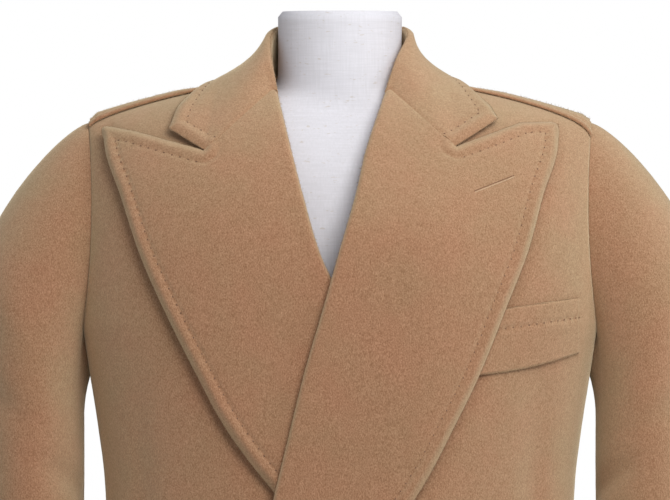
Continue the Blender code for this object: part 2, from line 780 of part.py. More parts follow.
def main():
    for old in list(bpy.data.objects):
        bpy.data.objects.remove(old)
    coat = bpy.data.collections.new("camel_coat")
    bpy.context.scene.collection.children.link(coat)
    add_form(coat)
    cloth("back", back_grid(across=8, lower=10, upper=9), CLOTH, coat, seam_face=BACK)
    for name, side in (("left", 1), ("right", -1)):
        cloth("front_" + name, front_grid(side, across=14, lower=10, upper=9), CLOTH, coat, seam_face=FRONT)
        tube = sleeve_grid(side, half=9, head_steps=6, tube_steps=6)
        cloth("sleeve_" + name, tube, CLOTH, coat, closed=True)
        cloth("lapel_" + name, lapel_grid(side, across=8, up=16, roll_steps=3), LAPEL_CLOTH, coat)
        cloth("epaulette_" + name, strap_grid(side, long_steps=9, across_steps=4), STRAP_CLOTH, coat)
    cloth("collar", collar_grid(around=14, stand_steps=1, fall_steps=6), COLLAR_CLOTH, coat)
    cloth("breast_welt", welt_grid(across=6, up=3), WELT_CLOTH, coat)
    add_buttons(coat)


main()
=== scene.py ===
"""Looks of the double-breasted camel coat on its limbless dress form.

Metres, +Z up. The coat faces -Y, and the wearer's left, side 1 below, is +X.
The pieces follow the same sizes as the solids that they stand for, on finer meshes.
"""
import bisect
import math

import bmesh
import bpy
import numpy as np
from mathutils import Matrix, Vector, kdtree
from mathutils import noise as hash_noise


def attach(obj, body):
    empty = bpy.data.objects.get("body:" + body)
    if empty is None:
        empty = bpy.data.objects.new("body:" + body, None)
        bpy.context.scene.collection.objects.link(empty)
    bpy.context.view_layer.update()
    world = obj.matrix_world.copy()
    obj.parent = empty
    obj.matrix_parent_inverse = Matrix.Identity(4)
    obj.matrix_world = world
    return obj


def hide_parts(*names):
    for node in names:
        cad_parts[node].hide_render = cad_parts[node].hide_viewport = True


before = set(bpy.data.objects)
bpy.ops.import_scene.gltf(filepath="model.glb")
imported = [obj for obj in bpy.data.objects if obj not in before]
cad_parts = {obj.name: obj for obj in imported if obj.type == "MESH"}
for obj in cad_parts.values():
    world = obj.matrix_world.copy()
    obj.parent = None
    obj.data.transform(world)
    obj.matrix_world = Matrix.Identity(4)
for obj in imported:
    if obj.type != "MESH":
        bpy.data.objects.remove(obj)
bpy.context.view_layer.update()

# Cloth and seams
CLOTH = 0.0025            # wall of the brushed wool panels
FACE_LIFT = 0.0050        # outer face of a lapel or collar over its panel
SHELL = 0.0012            # wall of the pieces that lie on a panel
SEAM = 0.0003             # half the gap at a sewn seam

# Body of the coat
HEM_Z = 0.385
UNDERARM_Z = 1.130
YOKE_Z = 1.170            # above this the panels round over to the shoulder seam
SQUARENESS = 2.5          # power of the body's oval sections
FRONT, BACK = -1, 1
# height, half width, front depth, back depth
WIDTH, FRONT_DEPTH, BACK_DEPTH = 1, 2, 3
BODY_SECTIONS = (
    (HEM_Z, 0.2600, 0.176, 0.172),
    (0.600, 0.2415, 0.162, 0.157),
    (0.800, 0.2195, 0.146, 0.138),
    (0.950, 0.2070, 0.136, 0.124),
    (1.030, 0.2085, 0.135, 0.121),
    (1.080, 0.2145, 0.136, 0.122),
    (UNDERARM_Z, 0.2225, 0.137, 0.123),
    (YOKE_Z, 0.2300, 0.137, 0.123),
)

# Shoulder line, from the neck point to the sleeve seam
NECK_POINT_X = 0.068
NECK_POINT_Z = 1.388
SHOULDER_FALL = 0.13      # slope at the neck point
SHOULDER_BEND = 0.65      # growth of the slope towards the sleeve
# powers of the rise and of the depth, as a panel rounds over the shoulder
FRONT_ROUND = (2.4, 2.0)
BACK_ROUND = (3.5, 2.6)

# Armhole, as turns around the body's oval: the side seam is at a right angle
ARMHOLE_BITE = math.radians(24)
ARMHOLE_FLARE = math.radians(8.7)

# Fronts: places are measured out from the closing line, and down from the shoulder level
CLOSING_X = -0.0088
SHOULDER_LEVEL = 1.380
EDGE_PAST_CLOSING = 0.0765
ROLL_TRIM = 0.0062        # a front panel stops short of the roll, which the lapel covers
EDGE_ROUNDS = 4           # rounds in which a front edge's place and height are brought together
EDGE_STEP = 0.0025        # share of the body's height in which the front edge turns into the roll line
LAP_LIFT = 0.0100         # the upper front stands over the under front and its lapel
LAP_FULL_X, LAP_NONE_X = 0.065, 0.165
LAP_FULL_Z, LAP_NONE_Z = 1.240, 1.330

# Lapels: drop, roll line out, outer edge out
ROLL_OUT, EDGE_OUT = 1, 2
LAPEL_LEFT = (
    (0.0035, 0.0490, 0.1960),
    (0.0546, 0.0317, 0.1980),
    (0.0950, 0.0224, 0.1848),
    (0.1461, 0.0079, 0.1707),
    (0.1892, -0.0044, 0.1540),
    (0.2499, -0.0220, 0.1294),
    (0.2966, -0.0334, 0.1065),
    (0.3529, -0.0466, 0.0766),
    (0.4154, -0.0600, 0.0330),
    (0.4682, -0.0690, -0.0130),
    (0.5104, -0.0740, -0.0600),
)
LAPEL_RIGHT = (
    (0.0035, 0.0466, 0.1960),
    (0.0546, 0.0340, 0.1955),
    (0.0950, 0.0236, 0.1815),
    (0.1461, 0.0085, 0.1645),
    (0.1892, -0.0110, 0.1460),
    (0.2499, -0.0280, 0.1160),
    (0.2966, -0.0390, 0.0910),
    (0.3467, -0.0500, 0.0554),
    (0.4000, -0.0610, 0.0080),
    (0.4400, -0.0700, -0.0540),
)
# Ends of the seams between collar and lapel, as (out, drop)
LEFT_POINTS = {
    "gorge": (0.0490, 0.0035),
    "notch": (0.1082, 0.0530),
    "corner": (0.1452, 0.0317),
    "crown": (0.1650, 0.0343),
    "peak": (0.2005, 0.0345),
}
RIGHT_POINTS = {
    "gorge": (0.0466, 0.0035),
    "notch": (0.1082, 0.0563),
    "corner": (0.1390, 0.0396),
    "crown": (0.1690, 0.0414),
    "peak": (0.2008, 0.0365),
}
LAPEL_LINE_POINTS = 80    # points along a lapel's roll line and along its edge
NOTCH_SHARE = 0.5         # share of a lapel's width that lies inside its notch
PEAK_ROUND = 0.011        # length that the rounded peak takes off each of its edges
BREAK_GAP = 0.0035        # a lapel starts this far above the end of the front edge
ROLL_RADIUS = 0.0042      # half the thickness of the roll
LAPEL_SPRING = 0.0060     # a lapel and the collar stand up by this much more at their free edges
COVER_START, COVER_END = 0.300, 0.400     # drops between which the under lapel goes below the other front
EDGE_CLOSER = 1.7         # how much closer columns of points come towards a free edge
TOP_CLOSER = 1.3          # the same for a lapel's rows towards its top

# Collar guides from centre back, 0, towards the gorge, 1: place, stand, neck side and crest as x, y, z
COLLAR_GUIDES = (
    (0.00, (0.0000, 0.0622, 1.392), (0.0000, 0.0582, 1.436), (0.0000, 0.0655, 1.440)),
    (0.25, (0.0445, 0.0440, 1.392), (0.0415, 0.0410, 1.432), (0.0467, 0.0462, 1.436)),
    (0.55, (0.0622, 0.0000, 1.392), (0.0582, 0.0000, 1.425), (0.0655, 0.0000, 1.429)),
    (0.80, (0.0570, -0.0280, 1.389), (0.0545, -0.0320, 1.401), (0.0610, -0.0370, 1.406)),
)
# outer edge at the same places: distance out, and height where it lies on the back or front
COLLAR_EDGE = ((0.0000, 1.3700), (0.0700, 1.3675), (0.1130, None), (0.1340, 1.3635))
COLLAR_BACK, COLLAR_SHOULDER, COLLAR_FRONT = 0.25, 0.55, 0.80
COLLAR_SHIFT = 0.6        # share of the closing line's offset that the collar follows in front
COLLAR_LIFT = 0.0034      # least height of the fall's outer face over the shoulder
COLLAR_SAG = 0.0105       # how far the fall hollows over the shoulder
GORGE_LAP = 0.0018        # the collar goes this far past the gorge seam, so that no gap shows
FOLD_ROUND = 0.66         # roundness of the collar's fold
FALL_COLUMNS = 36
GORGE_COLUMN = 20         # column of the fall that meets the notch

# Sleeves: height, centre x, centre y, half width, half depth, tilt of the section
CENTRE_X, CENTRE_Y, HALF_X, HALF_Y, TILT = 1, 2, 3, 4, 5
SLEEVE_SECTIONS = (
    (0.790, 0.2765, -0.026, 0.0430, 0.058, 0.000),
    (0.870, 0.2760, -0.018, 0.0445, 0.062, 0.004),
    (0.950, 0.2755, -0.010, 0.0460, 0.066, 0.012),
    (1.050, 0.2745, -0.002, 0.0475, 0.071, 0.030),
    (1.150, 0.2745, 0.002, 0.0475, 0.074, 0.058),
)
SLEEVE_TUCK = 0.0014      # a sleeve starts this far inside the armhole, under the panels
SLEEVE_HEAD = 0.28        # how far the sleeve head runs out before it turns down
SLEEVE_FLUSH = 0.30       # share of its change in depth that it makes in that run
SLEEVE_DROP = 0.006       # fall of the sleeve head in that run
SLEEVE_HANG = 0.36        # share of its height in which it comes to hang straight

# Shoulder straps
STRAP_START_X, STRAP_END_X = 0.104, 0.2215
STRAP_HALF_START, STRAP_HALF_END = 0.0190, 0.0235
STRAP_SET_BACK = {1: 0.001, -1: 0.008}    # a strap's middle lies behind the shoulder seam
STRAP_LIFT = {1: 0.0032, -1: 0.0050}      # outer face over the shoulder, in the middle
STRAP_EDGE_LIFT = 0.0009                  # and at the long edges
STRAP_CROWN = 0.36        # below 1 the strap is flat in the middle and rounds down near its edges
STRAP_RISE_X = 0.1450     # up to here a strap rises from under the collar
STRAP_TUCK_X = 0.2130     # from here on it comes down into the sleeve seam
STRAP_TUCK = 0.85         # share of its height that it loses at both ends

# Breast welt on the wearer's left front, as (out, drop) of its four corners
WELT_CORNERS = ((0.1180, 0.2525), (0.2180, 0.2330), (0.2180, 0.1848), (0.1440, 0.1955))
WELT_SAG = 0.0042         # how far the welt's lower edge curves down
WELT_LIFT = 0.0030
WELT_ROUND, WELT_DROP = 0.0020, 0.0012

# Buttons
BUTTON_RADIUS = 0.0145
BUTTON_THICKNESS = 0.0042
BUTTON_OUT = 0.0600
BUTTON_HEIGHTS = {"upper": 0.838, "lower": 0.728}
BUTTON_LIFT = 0.0014

# Dress form: height, half width, front depth, back depth
FORM_SECTIONS = (
    (0.720, 0.1400, 0.0880, 0.0860),
    (0.735, 0.1520, 0.0980, 0.0950),
    (0.820, 0.1640, 0.1080, 0.1020),
    (0.950, 0.1560, 0.1000, 0.0930),
    (1.060, 0.1720, 0.1040, 0.0990),
    (1.170, 0.1920, 0.1060, 0.1030),
    (1.250, 0.1970, 0.1030, 0.1010),
    (1.300, 0.1950, 0.0930, 0.0950),
    (1.330, 0.1890, 0.0790, 0.0860),
    (1.350, 0.1780, 0.0640, 0.0760),
    (1.361, 0.1420, 0.0560, 0.0670),
    (1.369, 0.0980, 0.0535, 0.0590),
    (1.376, 0.0655, 0.0535, 0.0550),
    (1.385, 0.0570, 0.0540, 0.0545),
    (1.400, 0.0550, 0.0545, 0.0545),
    (1.449, 0.0550, 0.0540, 0.0540),
)
POLE_RADIUS = 0.016
BASE_RADIUS = 0.200
BASE_HEIGHT = 0.022
BASE_ROUND = 0.007


# Curves through the tables

def smooth(rows, column, at):
    """A soft curve through one column of a table, read at a value of its first column."""
    keys = [row[0] for row in rows]
    last = len(keys) - 1
    at = min(max(at, keys[0]), keys[last])
    index = min(bisect.bisect_right(keys, at) - 1, last - 1)

    def slope(row):
        low, high = max(row - 1, 0), min(row + 1, last)
        return (rows[high][column] - rows[low][column]) / (keys[high] - keys[low])

    span = keys[index + 1] - keys[index]
    part = (at - keys[index]) / span
    start_weight = (1 + 2 * part) * (1 - part) ** 2
    end_weight = part * part * (3 - 2 * part)
    start_lean = part * (1 - part) ** 2 * span * slope(index)
    end_lean = part * part * (part - 1) * span * slope(index + 1)
    values = start_weight * rows[index][column] + end_weight * rows[index + 1][column]
    return values + start_lean + end_lean


def ease(value, start, end):
    """0 at start, 1 at end, soft at both."""
    part = min(max((value - start) / (end - start), 0.0), 1.0)
    return part * part * (3 - 2 * part)


def lerp(start, end, part):
    return start + (end - start) * part


def closer_to_end(count, power):
    """Shares from 0 to 1 that come closer together towards 1."""
    return [1 - (1 - step / count) ** power for step in range(count + 1)]


# The body's surface

def ridge_z(x):
    """Height of the shoulder seam."""
    out = abs(x) - NECK_POINT_X
    return NECK_POINT_Z - SHOULDER_FALL * out - SHOULDER_BEND * out * abs(out)


def half_width(z):
    return smooth(BODY_SECTIONS, WIDTH, min(z, YOKE_Z))


def section_depth(x, z, face):
    """How far the body's oval section stands out at x."""
    column = FRONT_DEPTH if face == FRONT else BACK_DEPTH
    share = min(abs(x) / half_width(z), 1.0)
    oval = (1 - share ** SQUARENESS) ** (1 / SQUARENESS)
    return smooth(BODY_SECTIONS, column, min(z, YOKE_Z)) * oval


def body_y(x, z, face):
    """Depth of the outer face of the front or back."""
    depth = section_depth(x, z, face)
    if z > YOKE_Z:
        rise = min((z - YOKE_Z) / (ridge_z(x) - YOKE_Z), 1.0)
        along, across = FRONT_ROUND if face == FRONT else BACK_ROUND
        depth *= (1 - rise ** along) ** (1 / across)
    return face * depth


def shoulder_top(x, y, face):
    """Height of the rounded shoulder over a place seen from above."""
    depth = section_depth(x, YOKE_Z, face)
    along, across = FRONT_ROUND if face == FRONT else BACK_ROUND
    share = min(abs(y) / depth, 1.0)
    rise = (1 - share ** across) ** (1 / along)
    return lerp(YOKE_Z, ridge_z(x), rise)


def shoulder_tilt(x, y, step=0.001):
    """Height of the shoulder over a place, and its unscaled outward direction there."""
    def top(at_x, at_y):
        return shoulder_top(at_x, at_y, FRONT if at_y < 0 else BACK)

    across = (top(x + step, y) - top(x - step, y)) / (2 * step)
    deep = (top(x, y + step) - top(x, y - step)) / (2 * step)
    return top(x, y), Vector((-across, -deep, 1.0))


def on_shoulder(x, y, lift):
    """A point of the rounded shoulder over a place seen from above, moved out by lift."""
    top, tilt = shoulder_tilt(x, y)
    return Vector((x, y, top)) + tilt.normalized() * lift


def settled(point, lift):
    """The point, raised where it would lie closer to the shoulder than lift."""
    top, tilt = shoulder_tilt(point.x, point.y)
    return Vector((point.x, point.y, max(point.z, top + lift * tilt.length)))


def body_normal(x, z, face, step=0.001):
    """Outward direction of the body's surface."""
    across = (body_y(x + step, z, face) - body_y(x - step, z, face)) / (2 * step)
    up = (body_y(x, z + step, face) - body_y(x, z - step, face)) / (2 * step)
    return (Vector((-across, 1.0, -up)) * face).normalized()


def on_body(x, z, face, lift=0.0):
    """A point of the body, moved out by lift."""
    point = Vector((x, body_y(x, z, face), z))
    return point + body_normal(x, z, face) * lift if lift else point


TOP_LEVEL = 2.0           # level of the shoulder seam; 0 is the hem and 1 the yoke


def level_z(level, x):
    """Height at a level."""
    if level <= 1:
        return lerp(HEM_Z, YOKE_Z, level)
    return lerp(YOKE_Z, ridge_z(x), level - 1)


def turn_x(turn, level):
    """Distance out at a turn around the oval: 0 is the middle and a right angle the side."""
    width = half_width(lerp(HEM_Z, YOKE_Z, min(level, 1.0)))
    return width * math.copysign(abs(math.sin(turn)) ** (2 / SQUARENESS), turn)


def x_turn(x, z):
    share = min(abs(x) / half_width(z), 1.0)
    return math.copysign(math.asin(share ** (SQUARENESS / 2)), x)


UNDERARM_LEVEL = (UNDERARM_Z - HEM_Z) / (YOKE_Z - HEM_Z)


def armhole_turn(level):
    """Turn of the side seam, and above the underarm of the armhole."""
    part = max((level - UNDERARM_LEVEL) / (TOP_LEVEL - UNDERARM_LEVEL), 0.0)
    scoop = math.sqrt(1 - (1 - part) ** 2)
    return math.pi / 2 - ARMHOLE_BITE * scoop + ARMHOLE_FLARE * part * part


# Fronts and back

def closing_x(side, out):
    return CLOSING_X + side * out


def lap_lift(side, x, z):
    """How far the wearer's left front stands out where it laps over the other."""
    if side < 0:
        return 0.0
    return LAP_LIFT * (1 - ease(x, LAP_FULL_X, LAP_NONE_X)) * (1 - ease(z, LAP_FULL_Z, LAP_NONE_Z))


def lapel_rows(side):
    return LAPEL_LEFT if side > 0 else LAPEL_RIGHT


def seam_points(side):
    return LEFT_POINTS if side > 0 else RIGHT_POINTS


def front_edge_x(side, z):
    """The panel's inner edge: the front edge, then the roll line, then the neck."""
    rows = lapel_rows(side)
    drop = SHOULDER_LEVEL - z
    gorge_drop, gorge_out, _ = rows[0]
    if drop <= gorge_drop:
        part = (gorge_drop - drop) / (gorge_drop + NECK_POINT_Z - SHOULDER_LEVEL)
        return lerp(closing_x(side, gorge_out + ROLL_TRIM), side * NECK_POINT_X, min(part, 1.0))
    if drop > rows[-1][0]:
        return closing_x(side, -EDGE_PAST_CLOSING)
    return closing_x(side, smooth(rows, ROLL_OUT, drop) + ROLL_TRIM)


def break_z(side):
    """Height where the front edge ends and the roll line starts."""
    return SHOULDER_LEVEL - lapel_rows(side)[-1][0]


def panel_levels(lower, upper, stops=()):
    """Rows of a panel: even between its stops and the underarm, then closer at the armhole's ends."""
    bounds = [0.0, *stops, UNDERARM_LEVEL]
    levels = []
    for start, end in zip(bounds, bounds[1:]):
        steps = max(round((end - start) / UNDERARM_LEVEL * lower), 1)
        levels += [lerp(start, end, row / steps) for row in range(steps)]
    for row in range(upper + 1):
        part = (1 - math.cos(math.pi * row / upper)) / 2
        levels.append(lerp(UNDERARM_LEVEL, TOP_LEVEL, part))
    return levels


def front_grid(side, across, lower, upper):
    """Rows of points over a front panel, each running towards +X."""
    grid = []
    turn_back = (break_z(side) - HEM_Z) / (YOKE_Z - HEM_Z)
    shares = [1 - share for share in reversed(closer_to_end(across, EDGE_CLOSER))]
    for level in panel_levels(lower, upper, (turn_back - EDGE_STEP, turn_back + EDGE_STEP)):
        inner_x = front_edge_x(side, level_z(level, side * NECK_POINT_X))
        for _ in range(EDGE_ROUNDS):
            inner_x = front_edge_x(side, level_z(level, inner_x))
        inner = x_turn(inner_x, level_z(level, inner_x))
        outer = side * armhole_turn(level)
        row = []
        for share in shares:
            x = turn_x(lerp(inner, outer, share), level)
            z = level_z(level, x)
            row.append(on_body(x, z, FRONT, lap_lift(side, x, z)))
        grid.append(row if side > 0 else row[::-1])
    return np.array(grid)


def back_grid(across, lower, upper):
    """Rows of points over the back, each running towards -X."""
    top_turn = armhole_turn(TOP_LEVEL)
    grid = []
    for level in panel_levels(lower, upper):
        row = []
        for column in range(across, -across - 1, -1):
            share = column / across
            top_x = turn_x(share * top_turn, TOP_LEVEL)
            neck_y = math.sqrt(max(NECK_POINT_X ** 2 - top_x ** 2, 0.0))
            top_z = shoulder_top(top_x, neck_y, BACK)
            top_level = 1 + (top_z - YOKE_Z) / (ridge_z(top_x) - YOKE_Z)
            own_level = level * top_level / TOP_LEVEL
            x = turn_x(share * armhole_turn(level), own_level)
            row.append(on_body(x, level_z(own_level, x), BACK))
        grid.append(row)
    return np.array(grid)


# Lapels

def along(line, shares):
    """Places on a line of points, by shares of its length."""
    line = np.asarray(line, dtype=float)
    lengths = np.linalg.norm(np.diff(line, axis=0), axis=1)
    places = np.concatenate(([0.0], np.cumsum(lengths)))
    wanted = np.asarray(shares) * places[-1]
    return np.stack([np.interp(wanted, places, column) for column in line.T], axis=-1)


def rounded_corner(before, corner, after, cut, steps=10):
    """Points of a soft corner, as two halves that meet in its middle."""
    start = corner + (before - corner) / np.linalg.norm(before - corner) * cut
    end = corner + (after - corner) / np.linalg.norm(after - corner) * cut
    parts = np.linspace(0, 1, 2 * steps + 1)[:, None]
    arc = start * (1 - parts) ** 2 + corner * 2 * parts * (1 - parts) + end * parts ** 2
    return arc[:steps + 1], arc[steps:]


def notch_column(across):
    """The column of points that meets a lapel's notch."""
    shares = np.array(closer_to_end(across, EDGE_CLOSER))
    return int(np.argmin(np.abs(shares - NOTCH_SHARE)))


def lapel_plan(side, across, up):
    """(out, drop) over a lapel: across runs from roll to outer edge, up from the break to the top."""
    rows = lapel_rows(side)
    notch_share = across[notch_column(len(across) - 1)]
    points = {name: np.array(place) for name, place in seam_points(side).items()}
    break_drop = rows[-1][0] - BREAK_GAP
    peak_drop = points["peak"][1]
    drops = np.linspace(break_drop, points["gorge"][1], LAPEL_LINE_POINTS)
    roll = along([(smooth(rows, ROLL_OUT, drop), drop) for drop in drops], up)
    edge_drops = np.linspace(break_drop, peak_drop + PEAK_ROUND, LAPEL_LINE_POINTS)
    edge_line = [(smooth(rows, EDGE_OUT, drop), drop) for drop in edge_drops]
    top_half, edge_half = rounded_corner(points["crown"], points["peak"], np.array(edge_line[-1]), PEAK_ROUND)
    edge = along([*edge_line, *edge_half[::-1]], up)
    gorge_seam = [points["gorge"], points["notch"]]
    free_top = [points["notch"], points["crown"], *top_half]
    top = np.where(across[:, None] <= notch_share,
                   along(gorge_seam, np.minimum(across / notch_share, 1)),
                   along(free_top, np.maximum((across - notch_share) / (1 - notch_share), 0)))
    bottom = lerp(roll[0], edge[0], across[:, None])
    sides = lerp(roll[:, None], edge[:, None], across[None, :, None])
    ends = lerp(bottom[None], top[None], up[:, None, None])
    corners = lerp(bottom[None], lerp(roll[-1], edge[-1], across[:, None])[None], up[:, None, None])
    return sides + ends - corners


def front_place(side, out, drop, lift):
    """A point over a front panel, lap and all."""
    x, z = closing_x(side, out), SHOULDER_LEVEL - drop
    return on_body(x, z, FRONT, lap_lift(side, x, z) + lift)


def roll_turn(side, out, drop, face_lift, steps):
    """Points round the roll, from behind the panel's edge to the lapel's face."""
    points = []
    for step in range(steps):
        turn = math.pi * (step / steps - 0.5)
        shift = ROLL_RADIUS * (1 - math.cos(turn))
        lift = face_lift - ROLL_RADIUS * (1 - math.sin(turn))
        points.append(front_place(side, out + shift, drop, lift))
    return points


def lapel_lift(side, share, drop):
    """Height of a lapel's outer face, which stands up towards an edge that the other front leaves free."""
    covered = ease(drop, COVER_START, COVER_END) if side < 0 else 0.0
    return FACE_LIFT + LAPEL_SPRING * share * share * (1 - covered)


def lapel_grid(side, across, up, roll_steps):
    """Rows of points up a lapel, each from the roll to the outer edge and towards +X."""
    shares = np.array(closer_to_end(across, EDGE_CLOSER))
    heights = np.array(closer_to_end(up, TOP_CLOSER))
    grid = []
    for places in lapel_plan(side, shares, heights):
        points = roll_turn(side, *places[0], FACE_LIFT, roll_steps)
        for share, (out, drop) in zip(shares, places):
            inset = ROLL_RADIUS * (1 - share)
            points.append(front_place(side, out + inset, drop, lapel_lift(side, share, drop)))
        grid.append(points if side > 0 else points[::-1])
    return np.array(grid)


# Collar

def collar_shift(place, start, end):
    """How far the collar follows the closing line's offset, from start on and fully from end on."""
    return CLOSING_X * COLLAR_SHIFT * ease(place, start, end)


def collar_near(place):
    """How near a place is to the shoulder line: 1 on it, 0 at the back and at the gorge."""
    return ease(place, COLLAR_BACK, COLLAR_SHOULDER) * (1 - ease(place, COLLAR_SHOULDER, 1.0))


def collar_lift(place):
    """How far the fall's outer face stands off: most over the shoulder strap."""
    return lerp(FACE_LIFT + LAPEL_SPRING, COLLAR_LIFT, collar_near(place))


def collar_edge(side, place, out, z):
    """The fall's outer edge at one of the collar's places."""
    x = side * out + collar_shift(place, COLLAR_BACK, COLLAR_SHOULDER)
    if place == COLLAR_SHOULDER:
        return on_shoulder(x, 0.0, collar_lift(place))
    return on_body(x, z, BACK if place <= COLLAR_BACK else FRONT, collar_lift(place))


def collar_guides(side):
    """Tables of place, x, y, z for the stand, neck side, crest and outer edge."""
    points = seam_points(side)
    gorge_out, gorge_drop = points["gorge"]
    gorge_drop += GORGE_LAP
    guides = [[], [], [], []]
    for (place, *inner), (out, z) in zip(COLLAR_GUIDES, COLLAR_EDGE):
        shift = collar_shift(place, COLLAR_SHOULDER, COLLAR_FRONT)
        for guide, (x, y, height) in zip(guides, inner):
            guide.append((place, side * x + shift, y, height))
        guides[-1].append((place, *collar_edge(side, place, out, z)))
    ends = roll_turn(side, gorge_out, gorge_drop, FACE_LIFT, 2)
    ends.append(front_place(side, gorge_out + ROLL_RADIUS, gorge_drop, FACE_LIFT))
    ends.append(front_place(side, *points["corner"], FACE_LIFT + LAPEL_SPRING))
    for guide, end in zip(guides, ends):
        place, x, y, z = guide[1]
        guide.insert(0, (-place, -x, y, z))
        guide.append((1.0, *end))
    return guides


def collar_end(side, share):
    """(out, drop) on the collar's end: along the gorge seam, then up the front edge."""
    gorge, notch, corner = (np.array(seam_points(side)[name]) for name in ("gorge", "notch", "corner"))
    gorge_share = closer_to_end(FALL_COLUMNS, TOP_CLOSER)[GORGE_COLUMN]
    if share <= gorge_share:
        return lerp(gorge + np.array((ROLL_RADIUS, GORGE_LAP)), notch, share / gorge_share)
    return lerp(notch, corner, (share - gorge_share) / (1 - gorge_share))


def collar_grid(around, stand_steps, fold_steps):
    """Rows from the stand over the fold to the outer edge, from left gorge to right gorge."""
    grid = []
    guides = {side: collar_guides(side) for side in (1, -1)}
    shares = closer_to_end(FALL_COLUMNS, TOP_CLOSER)
    ends = {side: [front_place(side, *collar_end(side, share), lapel_lift(side, share, 0.0))
                   for share in shares] for side in (1, -1)}
    for step in range(around, -around - 1, -1):
        side = 1 if step >= 0 else -1
        place = closer_to_end(around, TOP_CLOSER)[abs(step)]
        stand, neck, crest, edge = (
            Vector([smooth(rows, column, place) for column in (1, 2, 3)]) for rows in guides[side])
        end_crest, end_edge = (Vector(rows[-1][1:]) for rows in guides[side][2:])
        pull = ease(place, COLLAR_SHOULDER, 1.0) ** 2
        inward = Vector((crest.x - edge.x, crest.y - edge.y, 0)).normalized()
        hollow = inward * COLLAR_SAG * collar_near(place)
        row = [stand.lerp(neck, part / stand_steps) for part in range(stand_steps)]
        reach = (crest - neck).length * FOLD_ROUND
        up_stand = neck + (neck - stand).normalized() * reach
        up_fall = crest + (crest - edge).normalized() * reach
        for part in range(fold_steps):
            turn = part / fold_steps
            weights = ((1 - turn) ** 3, 3 * turn * (1 - turn) ** 2, 3 * turn ** 2 * (1 - turn), turn ** 3)
            bend = [weight * point for weight, point in zip(weights, (neck, up_stand, up_fall, crest))]
            row.append(sum(bend, Vector()))
        for share, end_point in zip(shares, ends[side]):
            point = crest.lerp(edge, share) + hollow * math.sin(math.pi * share)
            point += (end_point - end_crest.lerp(end_edge, share)) * pull
            row.append(settled(point, COLLAR_LIFT) if COLLAR_BACK < place < 1 else point)
        grid.append(row)
    return np.array(grid)


# Sleeves, straps and welt

def sleeve_point(side, turn, z):
    """A point of the sleeve's tube: turn 0 is next to the body, a right angle is the front."""
    width, depth = smooth(SLEEVE_SECTIONS, HALF_X, z), smooth(SLEEVE_SECTIONS, HALF_Y, z)
    x = smooth(SLEEVE_SECTIONS, CENTRE_X, z) - width * math.cos(turn)
    y = smooth(SLEEVE_SECTIONS, CENTRE_Y, z) - depth * math.sin(turn)
    return Vector((side * x, y, z - smooth(SLEEVE_SECTIONS, TILT, z) * math.cos(turn)))


def armhole_loop(side, half):
    """The armhole's points from the underarm up the front and down the back, with their turns."""
    loop = []
    for step in range(2 * half):
        turn = math.pi * step / half
        part = (1 - math.cos(turn)) / 2
        level = lerp(UNDERARM_LEVEL, TOP_LEVEL, part)
        x = turn_x(side * armhole_turn(level), level)
        point = on_body(x, level_z(level, x), FRONT if step <= half else BACK, -SLEEVE_TUCK)
        loop.append((turn, point - Vector((side * SLEEVE_TUCK, 0, 0))))
    return loop


def sleeve_grid(side, half, head_steps, tube_steps):
    """Rings down a sleeve, from the armhole over the sleeve head to the cuff."""
    top_z, cuff_z = SLEEVE_SECTIONS[-1][0], SLEEVE_SECTIONS[0][0]
    rings = [[] for _ in range(head_steps + tube_steps + 1)]
    for turn, start in armhole_loop(side, half):
        end = sleeve_point(side, turn, top_z)
        out = max(abs(lerp(start.x, end.x, SLEEVE_HEAD)), abs(start.x) + 2 * SLEEVE_TUCK)
        bend = Vector((side * out, lerp(start.y, end.y, SLEEVE_FLUSH), start.z - SLEEVE_DROP))
        hang = end.lerp(Vector((end.x, end.y, start.z)), SLEEVE_HANG)
        for step in range(head_steps):
            part = step / head_steps
            run, turned_down, fall = start.lerp(bend, part), bend.lerp(hang, part), hang.lerp(end, part)
            rings[step].append(run.lerp(turned_down, part).lerp(turned_down.lerp(fall, part), part))
        for step in range(tube_steps + 1):
            z = lerp(top_z, cuff_z, step / tube_steps)
            rings[head_steps + step].append(sleeve_point(side, turn, z))
    return np.array([ring[::-1] for ring in rings] if side > 0 else rings)


def even_edges(count):
    """Shares from 0 to 1 that come closer together towards both ends."""
    return [(1 - math.cos(math.pi * step / count)) / 2 for step in range(count + 1)]


def strap_grid(side, long_steps, across_steps):
    """A shoulder strap from under the collar to the sleeve seam, over the shoulder line."""
    grid = []
    for share in even_edges(across_steps):
        points = []
        for part in closer_to_end(long_steps, TOP_CLOSER):
            x = side * lerp(STRAP_START_X, STRAP_END_X, part)
            half = lerp(STRAP_HALF_START, STRAP_HALF_END, part)
            rise = math.sin(math.pi * share) ** STRAP_CROWN
            rise *= 1 - STRAP_TUCK * ease(abs(x), STRAP_TUCK_X, STRAP_END_X)
            rise *= lerp(1 - STRAP_TUCK, 1.0, ease(abs(x), STRAP_START_X, STRAP_RISE_X))
            lift = lerp(STRAP_EDGE_LIFT, STRAP_LIFT[side], rise)
            points.append(on_shoulder(x, lerp(-half, half, share) + STRAP_SET_BACK[side], lift))
        grid.append(points if side > 0 else points[::-1])
    return np.array(grid)


def welt_grid(across, up):
    """Rows up the breast welt, each towards +X."""
    corners = [np.array(corner) for corner in WELT_CORNERS]
    lower_in, lower_out, upper_out, upper_in = corners
    grid = []
    for height in even_edges(up):
        points = []
        for part in even_edges(across):
            out, drop = lerp(lerp(lower_in, lower_out, part), lerp(upper_in, upper_out, part), height)
            drop += WELT_SAG * (1 - height) * math.sin(math.pi * part)
            points.append(front_place(1, out, drop, WELT_LIFT))
        grid.append(points)
    return np.array(grid)


# Relief of the cloth: rounded rims, stitched grooves, seams and soft creases

